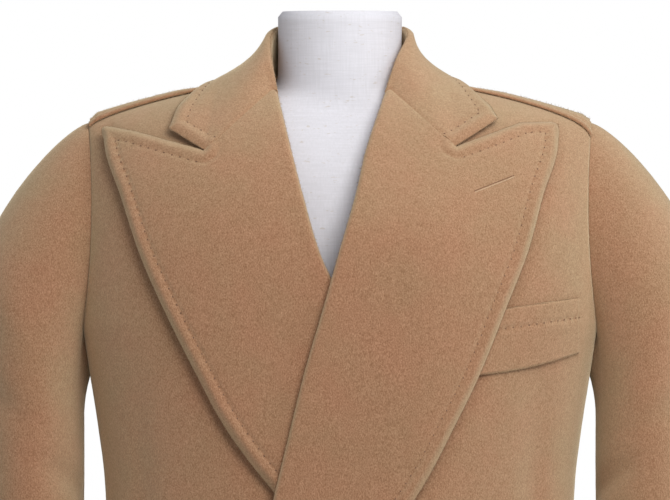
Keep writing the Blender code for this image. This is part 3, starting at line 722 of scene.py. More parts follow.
EDGE_ROUND, EDGE_DROP = 0.0082, 0.0056    # a free edge rounds down over this width, and by this height
EDGE_POWER = 1.6          # nearer 1 the rounded edge slopes more evenly
STITCH_INSET = 0.0142     # edge stitching, in from a free edge
STITCH_PITCH = 0.0082
STITCH_LINE_POINTS = 400  # points along an edge that its stitches follow
STITCH_PROUD = 0.00025    # middle of a stitch over the cloth
STITCH_CLEAR = 0.94       # stitches nearer another edge than this share of their inset are left out
SWELL_RISE = 0.0016       # the cloth swells by this between a free edge and its stitches
SWELL_LEAN = 0.7          # below 1 the swell is nearer the edge
GROOVE_DEPTH, GROOVE_WIDTH = 0.0008, 0.0024
PRICK = 0.50              # share by which the groove is deeper at each stitch
NAP_RISE, NAP_SIZE = 0.00012, 0.0050      # unevenness of the brushed face
SEAM_DEPTH, SEAM_WIDTH = 0.0006, 0.0024
PRESS_DEPTH, PRESS_WIDTH = 0.0026, 0.0085     # hollow that a lapel's edge presses into its front
PRESSED_TOP = 0.6         # share of the edge relief that is left on the collar and on a lapel's top
PRESSED_END = 0.02        # length of edge below the peak in which the rest comes back


def grid_normals(grid, closed=False):
    """Outward directions over rows of points."""
    if closed:
        across = np.roll(grid, -1, axis=1) - np.roll(grid, 1, axis=1)
    else:
        across = np.gradient(grid, axis=1)
    normals = np.cross(across, np.gradient(grid, axis=0))
    lengths = np.linalg.norm(normals, axis=2, keepdims=True)
    return normals / np.maximum(lengths, 1e-12)


def raised(grid, height, closed=False):
    """The points of a grid, moved out by a height."""
    return grid + grid_normals(grid, closed) * height[..., None]


def near_line(points, line, step=0.0005):
    """Distance of each point from a line, and how far along the line its nearest place is."""
    line = np.asarray(line)
    length = np.linalg.norm(np.diff(line, axis=0), axis=1).sum()
    count = max(round(length / step), 1)
    tree = kdtree.KDTree(count + 1)
    for index, place in enumerate(along(line, np.linspace(0, 1, count + 1))):
        tree.insert(place, index)
    tree.balance()
    found = [tree.find(point) for point in points.reshape(-1, 3)]
    shape = points.shape[:-1]
    distance = np.array([hit[2] for hit in found]).reshape(shape)
    travelled = np.array([hit[1] for hit in found]).reshape(shape) * length / count
    return distance, travelled


def edge_drop(distance, width, height):
    """How far a rounded edge has come down at a distance from it."""
    return height * np.clip(1 - distance / width, 0, 1) ** EDGE_POWER


def stitched_groove(distance, travelled, inset):
    """Depth of a row of stitches drawn into the cloth."""
    prick = 1 + PRICK * np.cos(2 * math.pi * travelled / STITCH_PITCH)
    return GROOVE_DEPTH * prick * np.exp(-((distance - inset) / GROOVE_WIDTH) ** 2)


def stitched_edge(distance, travelled, inset=STITCH_INSET, width=EDGE_ROUND, height=EDGE_DROP):
    """Height over flat cloth of a free edge: rounded rim, soft swell and stitched groove."""
    swell = SWELL_RISE * np.sin(math.pi * np.clip(distance / inset, 0, 1) ** SWELL_LEAN)
    return swell - edge_drop(distance, width, height) - stitched_groove(distance, travelled, inset)


def brushed(grid):
    """Small unevenness of the brushed nap."""
    places = grid.reshape(-1, 3) / NAP_SIZE
    return NAP_RISE * np.array([hash_noise.noise(place) for place in places]).reshape(grid.shape[:2])


def sewn_seam(distance):
    """Height over flat cloth of an edge that is sewn to its neighbour."""
    return -SEAM_DEPTH * np.exp(-(distance / SEAM_WIDTH) ** 2)


def stitch_path(flat, worked, line, inset, inward):
    """The line that stitches follow on the worked cloth, in from its edge line; inward is 1 or -1."""
    line = along(line, np.linspace(0, 1, STITCH_LINE_POINTS))
    points, normals = flat.reshape(-1, 3), grid_normals(flat).reshape(-1, 3)
    shifts = (worked - flat).reshape(-1, 3)
    tree = kdtree.KDTree(len(points))
    for index, point in enumerate(points):
        tree.insert(point, index)
    tree.balance()
    places, path = [], []
    for place, direction in zip(line, np.gradient(line, axis=0)):
        aside = np.cross(normals[tree.find(place)[1]], direction) * inward
        target = place + aside / np.linalg.norm(aside) * inset
        _, index, _ = tree.find(target)
        target = target - normals[index] * np.dot(target - points[index], normals[index])
        places.append(target)
        path.append(target + shifts[index] + normals[index] * STITCH_PROUD)
    distance, _ = near_line(np.array(places), line)
    return np.array(path)[distance > inset * STITCH_CLEAR]


# Objects

def grid_faces(rows, columns, closed):
    return [(row * columns + column, row * columns + (column + 1) % columns,
             (row + 1) * columns + (column + 1) % columns, (row + 1) * columns + column)
            for row in range(rows - 1) for column in range(columns if closed else columns - 1)]


def add_piece(name, points, faces, material):
    mesh = bpy.data.meshes.new(name)
    mesh.from_pydata([tuple(point) for point in points], [], faces)
    mesh.materials.append(material)
    mesh.shade_smooth()
    piece = bpy.data.objects.new(name, mesh)
    bpy.context.scene.collection.objects.link(piece)
    return piece


def bake(piece):
    """Turns a piece's modifiers into its plain mesh."""
    graph = bpy.context.evaluated_depsgraph_get()
    mesh = bpy.data.meshes.new_from_object(piece.evaluated_get(graph))
    piece.modifiers.clear()
    piece.data = mesh
    mesh.name = piece.name


def add_cloth(name, grid, thickness, material, closed=False):
    """A thin wall of cloth behind its outer face."""
    rows, columns = grid.shape[:2]
    piece = add_piece(name, grid.reshape(-1, 3), grid_faces(rows, columns, closed), material)
    wall = piece.modifiers.new("wall", "SOLIDIFY")
    wall.thickness = thickness
    wall.offset = -1
    bake(piece)
    return piece


# Materials

MIX_A, MIX_B, MIX_RESULT = 6, 7, 2     # the colour sockets of a Mix node
MM = 0.001


def linear(hex_colour):
    """An sRGB hex colour as a linear one."""
    channels = [int(hex_colour[start:start + 2], 16) / 255 for start in (1, 3, 5)]
    return (*[c / 12.92 if c <= 0.04045 else ((c + 0.055) / 1.055) ** 2.4 for c in channels], 1.0)


def feed(tree, node, inputs):
    """Sets inputs of a node, each to a value or to the socket that feeds it."""
    for name, value in inputs.items():
        if isinstance(value, bpy.types.NodeSocket):
            tree.links.new(value, node.inputs[name])
        else:
            node.inputs[name].default_value = value


def add_node(tree, kind, inputs=None, **settings):
    """A node with its settings and inputs."""
    node = tree.nodes.new(kind)
    for name, value in settings.items():
        setattr(node, name, value)
    feed(tree, node, inputs or {})
    return node


def new_material(name):
    """An empty material with its Principled shader and object coordinates."""
    material = bpy.data.materials.new(name)
    material.use_nodes = True
    tree = material.node_tree
    place = add_node(tree, "ShaderNodeTexCoord").outputs["Object"]
    return material, tree, tree.nodes["Principled BSDF"], place


def two_tone(tree, factor, low, high, span=(0.0, 1.0)):
    """A colour between two hex colours, spread over a span of the factor."""
    ramp = add_node(tree, "ShaderNodeValToRGB", {"Fac": factor})
    for element, position, colour in zip(ramp.color_ramp.elements, span, (low, high)):
        element.position = position
        element.color = linear(colour)
    return ramp.outputs["Color"]


def grain(tree, place, size, detail, stretch=None, **inputs):
    """A noise of one grain size; an axis that stretch scales down has its grain drawn out."""
    if stretch:
        place = add_node(tree, "ShaderNodeMapping", {"Vector": place, "Scale": stretch}).outputs["Vector"]
    noise = add_node(tree, "ShaderNodeTexNoise", {
        "Vector": place, "Scale": 1 / size, "Detail": detail, **inputs})
    return noise.outputs["Fac"]


def bumped(tree, height, distance, strength, **inputs):
    """A normal that follows a height."""
    bump = add_node(tree, "ShaderNodeBump", {
        "Height": height, "Distance": distance, "Strength": strength, **inputs})
    return bump.outputs["Normal"]


def mixed(tree, factor, first, second, blend="MIX"):
    """A mix of two colours."""
    mix = add_node(tree, "ShaderNodeMix", {"Factor": factor, MIX_A: first, MIX_B: second},
                   data_type="RGBA", blend_type=blend)
    return mix.outputs[MIX_RESULT]


def camel_wool():
    """Camel melton, woven, milled and brushed: a felted ground under short fibres, with a painted sheen that
    pales it where it turns away from the view.
    """
    material, tree, shader, place = new_material("brushed_camel_wool")
    # fibres are really 0.02 mm wide; they are drawn as tufts that show at this distance
    tufts = grain(tree, place, 1.0 * MM, 3.0, stretch=(1.0, 1.0, 0.6), Roughness=0.7)
    clumps = grain(tree, place, 5 * MM, 2.0, Roughness=0.6)
    drift = grain(tree, place, 45 * MM, 2.0)
    fine = bumped(tree, tufts, 0.5 * MM, 0.5)
    soft = bumped(tree, clumps, 0.8 * MM, 0.25, Normal=fine)
    # painted sheen: where the cloth turns away from the view its colour goes over from the ground's tones to
    # paler ones, painted in for the light that the nap's fibres catch from the side
    aside = add_node(tree, "ShaderNodeLayerWeight", {"Blend": 0.70, "Normal": soft})
    sheen = add_node(tree, "ShaderNodeMath", {0: aside.outputs["Facing"], 1: 1.15}, operation="POWER")
    # the ground's tones with the painted sheen mixed in by that share
    nap = mixed(tree, sheen.outputs["Value"],
                two_tone(tree, tufts, "#886449", "#CBA386", (0.25, 0.75)),
                two_tone(tree, tufts, "#B59A7C", "#E8D4B6", (0.25, 0.75)))
    mottled = mixed(tree, 1.0, nap, two_tone(tree, clumps, "#EDE7E1", "#FFFFFF"), "MULTIPLY")
    warmth = two_tone(tree, drift, "#FFF4EE", "#F9F8F0", (0.3, 0.7))
    feed(tree, shader, {
        "Base Color": mixed(tree, 1.0, mottled, warmth, "MULTIPLY"), "Normal": soft,
        "Roughness": 0.95, "Specular IOR Level": 0.12,
        "Sheen Weight": 0.8, "Sheen Roughness": 0.35, "Sheen Tint": linear("#F2E2BE")})
    return material


def slub_linen():
    """Linen stretched over the form: a plain weave with thicker threads here and there."""
    material, tree, shader, place = new_material("slub_linen")
    # threads are about 0.7 mm apart; they are drawn twice as far apart so that they show
    across = grain(tree, place, 1.5 * MM, 2.0, stretch=(0.06, 0.06, 1.0))
    down = grain(tree, place, 1.5 * MM, 2.0, stretch=(1.0, 1.0, 0.06))
    weave = add_node(tree, "ShaderNodeMath", {0: across, 1: down}, operation="MULTIPLY").outputs["Value"]
    flecks = grain(tree, place, 2.4 * MM, 2.0, stretch=(0.3, 0.3, 1.0), Roughness=0.7)
    colour = mixed(tree, 1.0, two_tone(tree, weave, "#DEDDE3", "#E8E7EE", (0.10, 0.45)),
                   two_tone(tree, flecks, "#F1ECE4", "#FFFFFF", (0.29, 0.35)), "MULTIPLY")
    feed(tree, shader, {
        "Base Color": colour, "Normal": bumped(tree, weave, 0.3 * MM, 0.25),
        "Roughness": 0.85, "Specular IOR Level": 0.2})
    return material


def silk_twist(name, dark, pale):
    """Silk buttonhole twist, with the soft gloss of a twisted thread."""
    material, tree, shader, place = new_material(name)
    ply = grain(tree, place, 0.6 * MM, 1.0)
    feed(tree, shader, {
        "Base Color": two_tone(tree, ply, dark, pale), "Roughness": 0.6, "Sheen Weight": 0.2})
    return material


def polished_horn():
    """Buffalo horn, turned and polished: dark brown with pale drawn-out streaks under a low gloss."""
    material, tree, shader, place = new_material("polished_horn")
    drawn = add_node(tree, "ShaderNodeMapping", {
        "Vector": place, "Scale": (0.25, 1.0, 1.0), "Rotation": (0, 0.6, 0)})
    streaks = grain(tree, drawn.outputs["Vector"], 4 * MM, 4.0, Distortion=0.8)
    colour = two_tone(tree, streaks, "#2E1D12", "#80583A", (0.35, 0.75))
    feed(tree, shader, {"Base Color": colour, "Roughness": 0.28, "IOR": 1.55})
    return material


def satin_steel():
    """Steel, ground along its length and left satin: fine streaks that break up its reflections."""
    material, tree, shader, place = new_material("satin_steel")
    grind = grain(tree, place, 1.2 * MM, 3.0, stretch=(1.0, 1.0, 0.02))
    rough = add_node(tree, "ShaderNodeMapRange", {"Value": grind, "To Min": 0.28, "To Max": 0.46})
    feed(tree, shader, {
        "Base Color": two_tone(tree, grind, "#B4B4B6", "#D6D6D8"),
        "Roughness": rough.outputs["Result"], "Metallic": 1.0})
    return material


WOOL = camel_wool()
LINEN = slub_linen()
# brown silk thread, made darker than the cloth so that its stitches also paint the shade of the pits they
# sink into and of the buttonhole's slit
TWIST_WITH_PAINTED_SHADE = silk_twist("brown_twist_with_painted_shade", "#6A4A33", "#8C6547")
PALE_TWIST = silk_twist("pale_silk_twist", "#B9977A", "#DCC2A0")
HORN = polished_horn()
STEEL = satin_steel()


# Cloth pieces

# Creases of the body: face, top x, top z, bottom x, bottom z, half width, depth
CREASES = (
    (FRONT, 0.120, 0.98, 0.150, 0.385, 0.026, 0.0090),
    (FRONT, 0.178, 0.90, 0.215, 0.385, 0.016, 0.0060),
    (FRONT, 0.062, 0.70, 0.070, 0.385, 0.022, 0.0045),
    (FRONT, 0.180, 1.24, 0.168, 0.880, 0.014, 0.0105),
    (FRONT, -0.125, 0.96, -0.165, 0.385, 0.024, 0.0095),
    (FRONT, -0.185, 0.84, -0.208, 0.385, 0.015, 0.0055),
    (FRONT, -0.182, 1.20, -0.172, 0.860, 0.013, 0.0100),
    (BACK, 0.090, 1.02, 0.120, 0.385, 0.028, 0.0105),
    (BACK, 0.030, 0.80, 0.042, 0.385, 0.020, 0.0060),
    (BACK, -0.055, 0.92, -0.070, 0.385, 0.024, 0.0080),
    (BACK, -0.130, 1.00, -0.165, 0.385, 0.026, 0.0095),
    (BACK, 0.160, 0.88, 0.190, 0.385, 0.017, 0.0065),
)
CREASE_GROWTH = 1.5       # above 1 a crease starts softly and deepens downwards
CREASE_END = 0.14         # a crease that ends above the hem fades out in this height
CREASE_LIMIT, CREASE_FADE = 0.97, 0.12    # shares of the half width: where creases end, and fade within

# Creases of a sleeve: turn, height, half turn, half height, slant, depth
SLEEVE_CREASES = (
    (1.2, 0.985, 0.9, 0.012, 0.020, 0.0045),
    (1.0, 0.945, 0.8, 0.010, -0.018, 0.0040),
    (0.7, 1.035, 0.7, 0.013, 0.024, 0.0035),
    (2.2, 1.105, 0.8, 0.016, 0.030, 0.0030),
    (1.7, 0.885, 0.9, 0.012, 0.016, 0.0030),
    (4.3, 1.070, 0.9, 0.014, -0.022, 0.0040),
    (4.7, 0.955, 0.8, 0.012, 0.018, 0.0035),
)
stitch_paths = []
fuzzy_edges = []


def creased(grid, face):
    """Depth of the body's creases, which fade before the side seam."""
    depth = np.zeros(grid.shape[:2])
    x, z = grid[..., 0], grid[..., 2]
    for crease_face, top_x, top_z, bottom_x, bottom_z, half, deepest in CREASES:
        if crease_face == face:
            part = np.clip((top_z - z) / (top_z - bottom_z), 0, 1)
            middle = lerp(top_x, bottom_x, part)
            left = 1 - np.clip((bottom_z - z) / CREASE_END, 0, 1)
            depth += deepest * part ** CREASE_GROWTH * left ** 2 * np.exp(-((x - middle) / half) ** 2)
    widths = np.array([half_width(height) for height in z.ravel()]).reshape(z.shape)
    return depth * np.clip((CREASE_LIMIT - np.abs(x) / widths) / CREASE_FADE, 0, 1)


def to_seam(piece, face):
    """Stops a panel's rims at its side and shoulder seams."""
    for vertex in piece.data.vertices:
        vertex.co.y = face * max(vertex.co.y * face, SEAM / 2)


def lapel_rim(side):
    """The line on a front panel over which the lapel's outer edge lies."""
    rows = lapel_rows(side)
    drops = np.linspace(seam_points(side)["peak"][1], rows[-1][0], LAPEL_LINE_POINTS)
    return [front_place(side, smooth(rows, EDGE_OUT, drop), drop, 0.0) for drop in drops]


def front_panel(name, side):
    grid = front_grid(side, across=84, lower=110, upper=56)
    inner, outer = (grid[:, 0], grid[:, -1]) if side > 0 else (grid[:, -1], grid[:, 0])
    edge = inner[inner[:, 2] < break_z(side)]
    height = brushed(grid) + stitched_edge(*near_line(grid, edge))
    height += sewn_seam(near_line(grid, outer)[0]) + sewn_seam(near_line(grid, grid[-1])[0])
    pressed = near_line(grid, lapel_rim(side))[0] / PRESS_WIDTH
    height -= creased(grid, FRONT) + PRESS_DEPTH * np.exp(-pressed ** 2)
    worked = raised(grid, height)
    if side > 0:
        stitch_paths.append(stitch_path(grid, worked, edge, STITCH_INSET, -1))
    piece = add_cloth(name, worked, CLOTH, WOOL)
    to_seam(piece, FRONT)
    return piece


def back_panel(name):
    grid = back_grid(across=56, lower=110, upper=56)
    height = brushed(grid) - creased(grid, BACK)
    for seam in (grid[:, 0], grid[:, -1], grid[-1]):
        height += sewn_seam(near_line(grid, seam)[0])
    piece = add_cloth(name, raised(grid, height), CLOTH, WOOL)
    to_seam(piece, BACK)
    return piece


def lapel(name, side):
    roll_steps = 8
    across = 72
    grid = lapel_grid(side, across, up=300, roll_steps=roll_steps)
    outward = grid if side > 0 else grid[:, ::-1]
    notch = roll_steps + notch_column(across)
    top = outward[-1, notch:]
    free = np.concatenate([top, outward[-2::-1, -1]])
    distance, travelled = near_line(grid, free)
    top_length = np.linalg.norm(np.diff(top, axis=0), axis=1).sum()
    pressed = np.interp(travelled, (top_length, top_length + PRESSED_END), (PRESSED_TOP, 1.0))
    height = brushed(grid) + pressed * stitched_edge(distance, travelled)
    height += sewn_seam(near_line(grid, outward[-1, :notch + 1])[0])
    worked = raised(grid, height)
    stitch_paths.append(stitch_path(grid, worked, free, STITCH_INSET, -side))
    outward = worked if side > 0 else worked[:, ::-1]
    fuzzy_edges.extend([outward[-1, notch:], outward[:, -1], outward[:, roll_steps // 2]])
    return add_cloth(name, worked, SHELL, WOOL)


def collar_piece(name):
    stand_steps, fold_steps = 5, 8
    grid = collar_grid(110, stand_steps, fold_steps)
    crest = stand_steps + fold_steps
    notch = crest + GORGE_COLUMN
    free = np.concatenate([grid[0, notch:], grid[1:-1, -1], grid[-1, notch:][::-1]])
    height = brushed(grid) + PRESSED_TOP * stitched_edge(*near_line(grid, free))
    for gorge in (grid[0, crest:notch + 1], grid[-1, crest:notch + 1]):
        height += sewn_seam(near_line(grid, gorge)[0])
    worked = raised(grid, height)
    stitch_paths.append(stitch_path(grid, worked, free, STITCH_INSET, 1))
    fold = stand_steps + fold_steps // 2
    fuzzy_edges.extend([worked[0, notch:], worked[:, -1], worked[-1, notch:], worked[:, fold]])
    return add_cloth(name, worked, SHELL, WOOL)


def sleeve(name, side):
    half = 48
    grid = sleeve_grid(side, half, head_steps=26, tube_steps=90)
    armhole = np.concatenate([grid[0], grid[0, :1]])
    height = brushed(grid) + sewn_seam(near_line(grid, armhole)[0])
    turns = np.array([math.pi * step / half for step in range(2 * half)])
    turns = turns[::-1] if side > 0 else turns
    for turn, middle_z, half_turn, half_height, slant, deepest in SLEEVE_CREASES:
        aside = turns[None, :] - turn
        rise = grid[..., 2] - middle_z - slant * np.sin(aside)
        height -= deepest * np.exp(-(aside / half_turn) ** 2 - (rise / half_height) ** 2)
    return add_cloth(name, raised(grid, height, closed=True), CLOTH, WOOL, closed=True)


STRAP_INSET = 0.0075
STRAP_ROUND, STRAP_DROP = 0.0012, 0.0006


def epaulette(name, side):
    grid = strap_grid(side, long_steps=90, across_steps=44)
    height = brushed(grid)
    for edge in (grid[0], grid[-1]):
        height += stitched_edge(*near_line(grid, edge), STRAP_INSET, STRAP_ROUND, STRAP_DROP)
    worked = raised(grid, height)
    stitch_paths.append(stitch_path(grid, worked, grid[0], STRAP_INSET, -1))
    stitch_paths.append(stitch_path(grid, worked, grid[-1], STRAP_INSET, 1))
    fuzzy_edges.extend([worked[0], worked[len(worked) // 2]])
    return add_cloth(name, worked, SHELL, WOOL)


WELT_INSET = 0.0172


def breast_welt(name):
    grid = welt_grid(across=70, up=60)
    rim = np.concatenate([grid[0], grid[:, -1], grid[-1, ::-1], grid[::-1, 0]])
    height = brushed(grid) - edge_drop(near_line(grid, rim)[0], WELT_ROUND, WELT_DROP)
    height -= stitched_groove(*near_line(grid, grid[-1]), WELT_INSET)
    worked = raised(grid, height)
    stitch_paths.append(stitch_path(grid, worked, grid[-1], WELT_INSET, -1))
    fuzzy_edges.extend([worked[0], worked[-1]])
    return add_cloth(name, worked, SHELL, WOOL)


SIDES = {"left": 1, "right": -1}
PAIRED = {"front": front_panel, "lapel": lapel, "sleeve": sleeve, "epaulette": epaulette}

pieces = {"back": back_panel("back_cloth"), "collar": collar_piece("collar_cloth")}
for side_name, side in SIDES.items():
    for kind, make in PAIRED.items():
        node = "%s_%s" % (kind, side_name)
        pieces[node] = make(node + "_cloth", side)
pieces["breast_welt"] = breast_welt("breast_welt_cloth")


# Dress form

NECK_SEAM_Z = 1.378
NECK_SEAM_DEPTH, NECK_SEAM_WIDTH = 0.0006, 0.0012
FORM_RIM = 0.004          # rounding of the neck's top edge
ROUND_SIDES = 96          # points around the form and its stand
SHARP = math.radians(50)  # edges that turn by more than this are shown sharp


def turned_points(profile, sides=ROUND_SIDES):
    """Rings of points about Z from a (radius, height) profile, bottom to top."""
    turns = [2 * math.pi * step / sides for step in range(sides)]
    return np.array([[(radius * math.cos(turn), radius * math.sin(turn), z) for turn in turns]
                     for radius, z in profile])


def add_closed(name, rings, material):
    """A closed body through rings of points, its ends filled."""
    rows, columns = rings.shape[:2]
    faces = grid_faces(rows, columns, closed=True)
    faces.append(tuple(reversed(range(columns))))
    faces.append(tuple(range((rows - 1) * columns, rows * columns)))
    piece = add_piece(name, rings.reshape(-1, 3), faces, material)
    piece.data.set_sharp_from_angle(angle=SHARP)
    return piece


def form_body(name):
    rows = 150
    rings = []
    bottom, top = FORM_SECTIONS[0][0], FORM_SECTIONS[-1][0]
    for z in np.linspace(bottom, top, rows):
        width, front, back = (smooth(FORM_SECTIONS, column, z) for column in (WIDTH, FRONT_DEPTH, BACK_DEPTH))
        pinch = NECK_SEAM_DEPTH * math.exp(-((z - NECK_SEAM_Z) / NECK_SEAM_WIDTH) ** 2)
        pinch += FORM_RIM * (1 - math.sqrt(max(1 - max(1 - (top - z) / FORM_RIM, 0) ** 2, 0)))
        ring = []
        for step in range(ROUND_SIDES):
            turn = 2 * math.pi * step / ROUND_SIDES
            depth = front if math.sin(turn) < 0 else back
            ring.append(((width - pinch) * math.cos(turn), (depth - pinch) * math.sin(turn), z))
        rings.append(ring)
    return add_closed(name, np.array(rings), LINEN)


def rounded_rim(radius, bottom, top, corner, steps=8):
    """Profile of a disc with a rounded upper rim, bottom to top."""
    arc = []
    for step in range(steps + 1):
        turn = math.pi / 2 * step / steps
        arc.append((radius - corner + corner * math.cos(turn), top - corner + corner * math.sin(turn)))
    return [(radius, bottom), *arc]


pieces["form_body"] = form_body("form_linen")
pole_top, pole_bottom = FORM_SECTIONS[0][0] - SEAM, BASE_HEIGHT + SEAM
pieces["form_pole"] = add_closed(
    "form_pole_steel", turned_points([(POLE_RADIUS, pole_bottom), (POLE_RADIUS, pole_top)]), STEEL)
pieces["form_base"] = add_closed(
    "form_base_steel", turned_points(rounded_rim(BASE_RADIUS, 0.0, BASE_HEIGHT, BASE_ROUND)), STEEL)


# Buttons

BUTTON_HOLES = 4
BUTTON_HOLE = 0.0010      # radius of a hole
BUTTON_HOLE_OUT = 0.0026  # from the button's middle to a hole's middle
BUTTON_UNDER = 0.005075   # radius of the flat underside
BUTTON_FOOT = 0.0006      # the underside rises by this towards the rim
BUTTON_ROUND = 0.0012     # rounding of the rim's outer edge
BUTTON_SHARP = math.radians(35)
# Top of a button inside its rim: radius, depth below the rim
BUTTON_DISH = ((0.0119, 0.0001), (0.0106, 0.0011), (0.00145, 0.00132))


def button(name, x, z):
    """A turned button with a raised rim, a dished middle and four holes."""
    rim = rounded_rim(BUTTON_RADIUS, BUTTON_FOOT, BUTTON_THICKNESS, BUTTON_ROUND)
    dish = [(radius, BUTTON_THICKNESS - depth) for radius, depth in BUTTON_DISH]
    disc = add_closed(name, turned_points([(BUTTON_UNDER, 0.0), *rim, *dish], sides=64), HORN)
    body = bmesh.new()
    for step in range(BUTTON_HOLES):
        turn = 2 * math.pi * (step + 0.5) / BUTTON_HOLES
        out, aside = BUTTON_HOLE_OUT * math.cos(turn), BUTTON_HOLE_OUT * math.sin(turn)
        made = bmesh.ops.create_cone(body, cap_ends=True, segments=16, radius1=BUTTON_HOLE,
                                     radius2=BUTTON_HOLE, depth=2 * BUTTON_THICKNESS)
        bmesh.ops.translate(body, verts=made["verts"], vec=(out, aside, BUTTON_THICKNESS / 2))
    drill_mesh = bpy.data.meshes.new("drill")
    body.to_mesh(drill_mesh)
    body.free()
    drill = bpy.data.objects.new("drill", drill_mesh)
    bpy.context.scene.collection.objects.link(drill)
    holes = disc.modifiers.new("holes", "BOOLEAN")
    holes.object = drill
    bake(disc)
    bpy.data.objects.remove(drill)
    stand = on_body(x, z, FRONT, lap_lift(1, x, z) + BUTTON_LIFT)
    turn = body_normal(x, z, FRONT).to_track_quat("Z", "Y")
    for vertex in disc.data.vertices:
        vertex.co = turn @ vertex.co + stand
    disc.data.shade_smooth()
    disc.data.set_sharp_from_angle(angle=BUTTON_SHARP)
    return disc


for height_name, button_z in BUTTON_HEIGHTS.items():
    for side_name, side in SIDES.items():
        node = "button_%s_%s" % (height_name, side_name)
        pieces[node] = button(node + "_horn", closing_x(side, BUTTON_OUT), button_z)


# Stitches and fibres

BUTTONHOLE = ((0.1250, 0.0942), (0.1584, 0.0810))     # its ends on the left lapel, as (out, drop)
BUTTONHOLE_POINTS = 24    # points along a line of its thread
BUTTONHOLE_HALF = 0.0009  # from the slit to the middle of its thread edging


def new_tree(name):
    """A geometry node tree that takes paths, sizes and a thread, and its places along the paths."""
    tree = bpy.data.node_groups.new(name, "GeometryNodeTree")
    tree.interface.new_socket("Paths", in_out="INPUT", socket_type="NodeSocketGeometry")
    for size in ("Pitch", "Length", "Thickness"):
        tree.interface.new_socket(size, in_out="INPUT", socket_type="NodeSocketFloat")
    tree.interface.new_socket("Thread", in_out="INPUT", socket_type="NodeSocketMaterial")
    tree.interface.new_socket("Made", in_out="OUTPUT", socket_type="NodeSocketGeometry")
    given = add_node(tree, "NodeGroupInput").outputs
    places = add_node(tree, "GeometryNodeCurveToPoints", {
        "Curve": given["Paths"], "Length": given["Pitch"]}, mode="LENGTH")
    return tree, given, places.outputs


def end_tree(tree, given, places, shape, rotation, length):
    """Lays a shape at each place and turns the result into plain geometry of the given thread."""
    size = add_node(tree, "ShaderNodeCombineXYZ", {
        "X": given["Thickness"], "Y": given["Thickness"], "Z": length})
    laid = add_node(tree, "GeometryNodeInstanceOnPoints", {
        "Points": places["Points"], "Instance": shape.outputs["Mesh"],
        "Rotation": rotation, "Scale": size.outputs["Vector"]})
    real = add_node(tree, "GeometryNodeRealizeInstances", {"Geometry": laid.outputs["Instances"]})
    dyed = add_node(tree, "GeometryNodeSetMaterial", {
        "Geometry": real.outputs["Geometry"], "Material": given["Thread"]})
    add_node(tree, "NodeGroupOutput", {"Made": dyed.outputs["Geometry"]})
    return tree


def stitch_tree():
    """Lays even stitches along curves."""
    tree, given, places = new_tree("stitches")
    bead = add_node(tree, "GeometryNodeMeshUVSphere", {"Segments": 6, "Rings": 4, "Radius": 0.5})
    return end_tree(tree, given, places, bead, places["Rotation"], given["Length"])


def nap_tree():
    """Stands short fibres of the brushed nap along curves, each turned its own way."""
    tree, given, places = new_tree("nap")
    whole_turn = (2 * math.pi, 2 * math.pi, 2 * math.pi)
    turns = add_node(tree, "FunctionNodeRandomValue", {
        "Min": (0.0, 0.0, 0.0), "Max": whole_turn, "Seed": 11}, data_type="FLOAT_VECTOR")
    longer = add_node(tree, "FunctionNodeRandomValue", {2: 0.4, 3: 1.0, "Seed": 12}, data_type="FLOAT")
    length = add_node(tree, "ShaderNodeMath", {
        0: longer.outputs[1], 1: given["Length"]}, operation="MULTIPLY")
    fibre = add_node(tree, "GeometryNodeMeshCone", {
        "Vertices": 3, "Radius Top": 0.1, "Radius Bottom": 0.5, "Depth": 1.0})
    return end_tree(tree, given, places, fibre, turns.outputs["Value"], length.outputs["Value"])


def lay_along(name, paths, tree, **sizes):
    """One plain mesh of what a tree lays along the paths."""
    curve = bpy.data.curves.new(name, "CURVE")
    curve.dimensions = "3D"
    for path in (path for path in paths if len(path)):
        spline = curve.splines.new("POLY")
        spline.points.add(len(path) - 1)
        for point, place in zip(spline.points, path):
            point.co = (*place, 1.0)
    guide = bpy.data.objects.new(name + "_guide", curve)
    bpy.context.scene.collection.objects.link(guide)
    sewing = guide.modifiers.new("sewing", "NODES")
    sewing.node_group = tree
    for socket in tree.interface.items_tree:
        if socket.in_out == "INPUT" and socket.name in sizes:
            sewing[socket.identifier] = sizes[socket.name]
    graph = bpy.context.evaluated_depsgraph_get()
    mesh = bpy.data.meshes.new_from_object(guide.evaluated_get(graph))
    bpy.data.objects.remove(guide)
    mesh.name = name
    mesh.shade_smooth()
    piece = bpy.data.objects.new(name, mesh)
    bpy.context.scene.collection.objects.link(piece)
    return piece


def buttonhole_line(aside):
    """A line along the buttonhole, moved aside from its slit."""
    start, end = (np.array(place) for place in BUTTONHOLE)
    along_slit = (end - start) / np.linalg.norm(end - start)
    shift = np.array((-along_slit[1], along_slit[0])) * aside
    line = []
    for part in np.linspace(0, 1, BUTTONHOLE_POINTS):
        out, drop = lerp(start, end, part) + shift
        share = (out - smooth(LAPEL_LEFT, ROLL_OUT, drop)) / (
            smooth(LAPEL_LEFT, EDGE_OUT, drop) - smooth(LAPEL_LEFT, ROLL_OUT, drop))
        line.append(front_place(1, out, drop, lapel_lift(1, share, drop)))
    return line


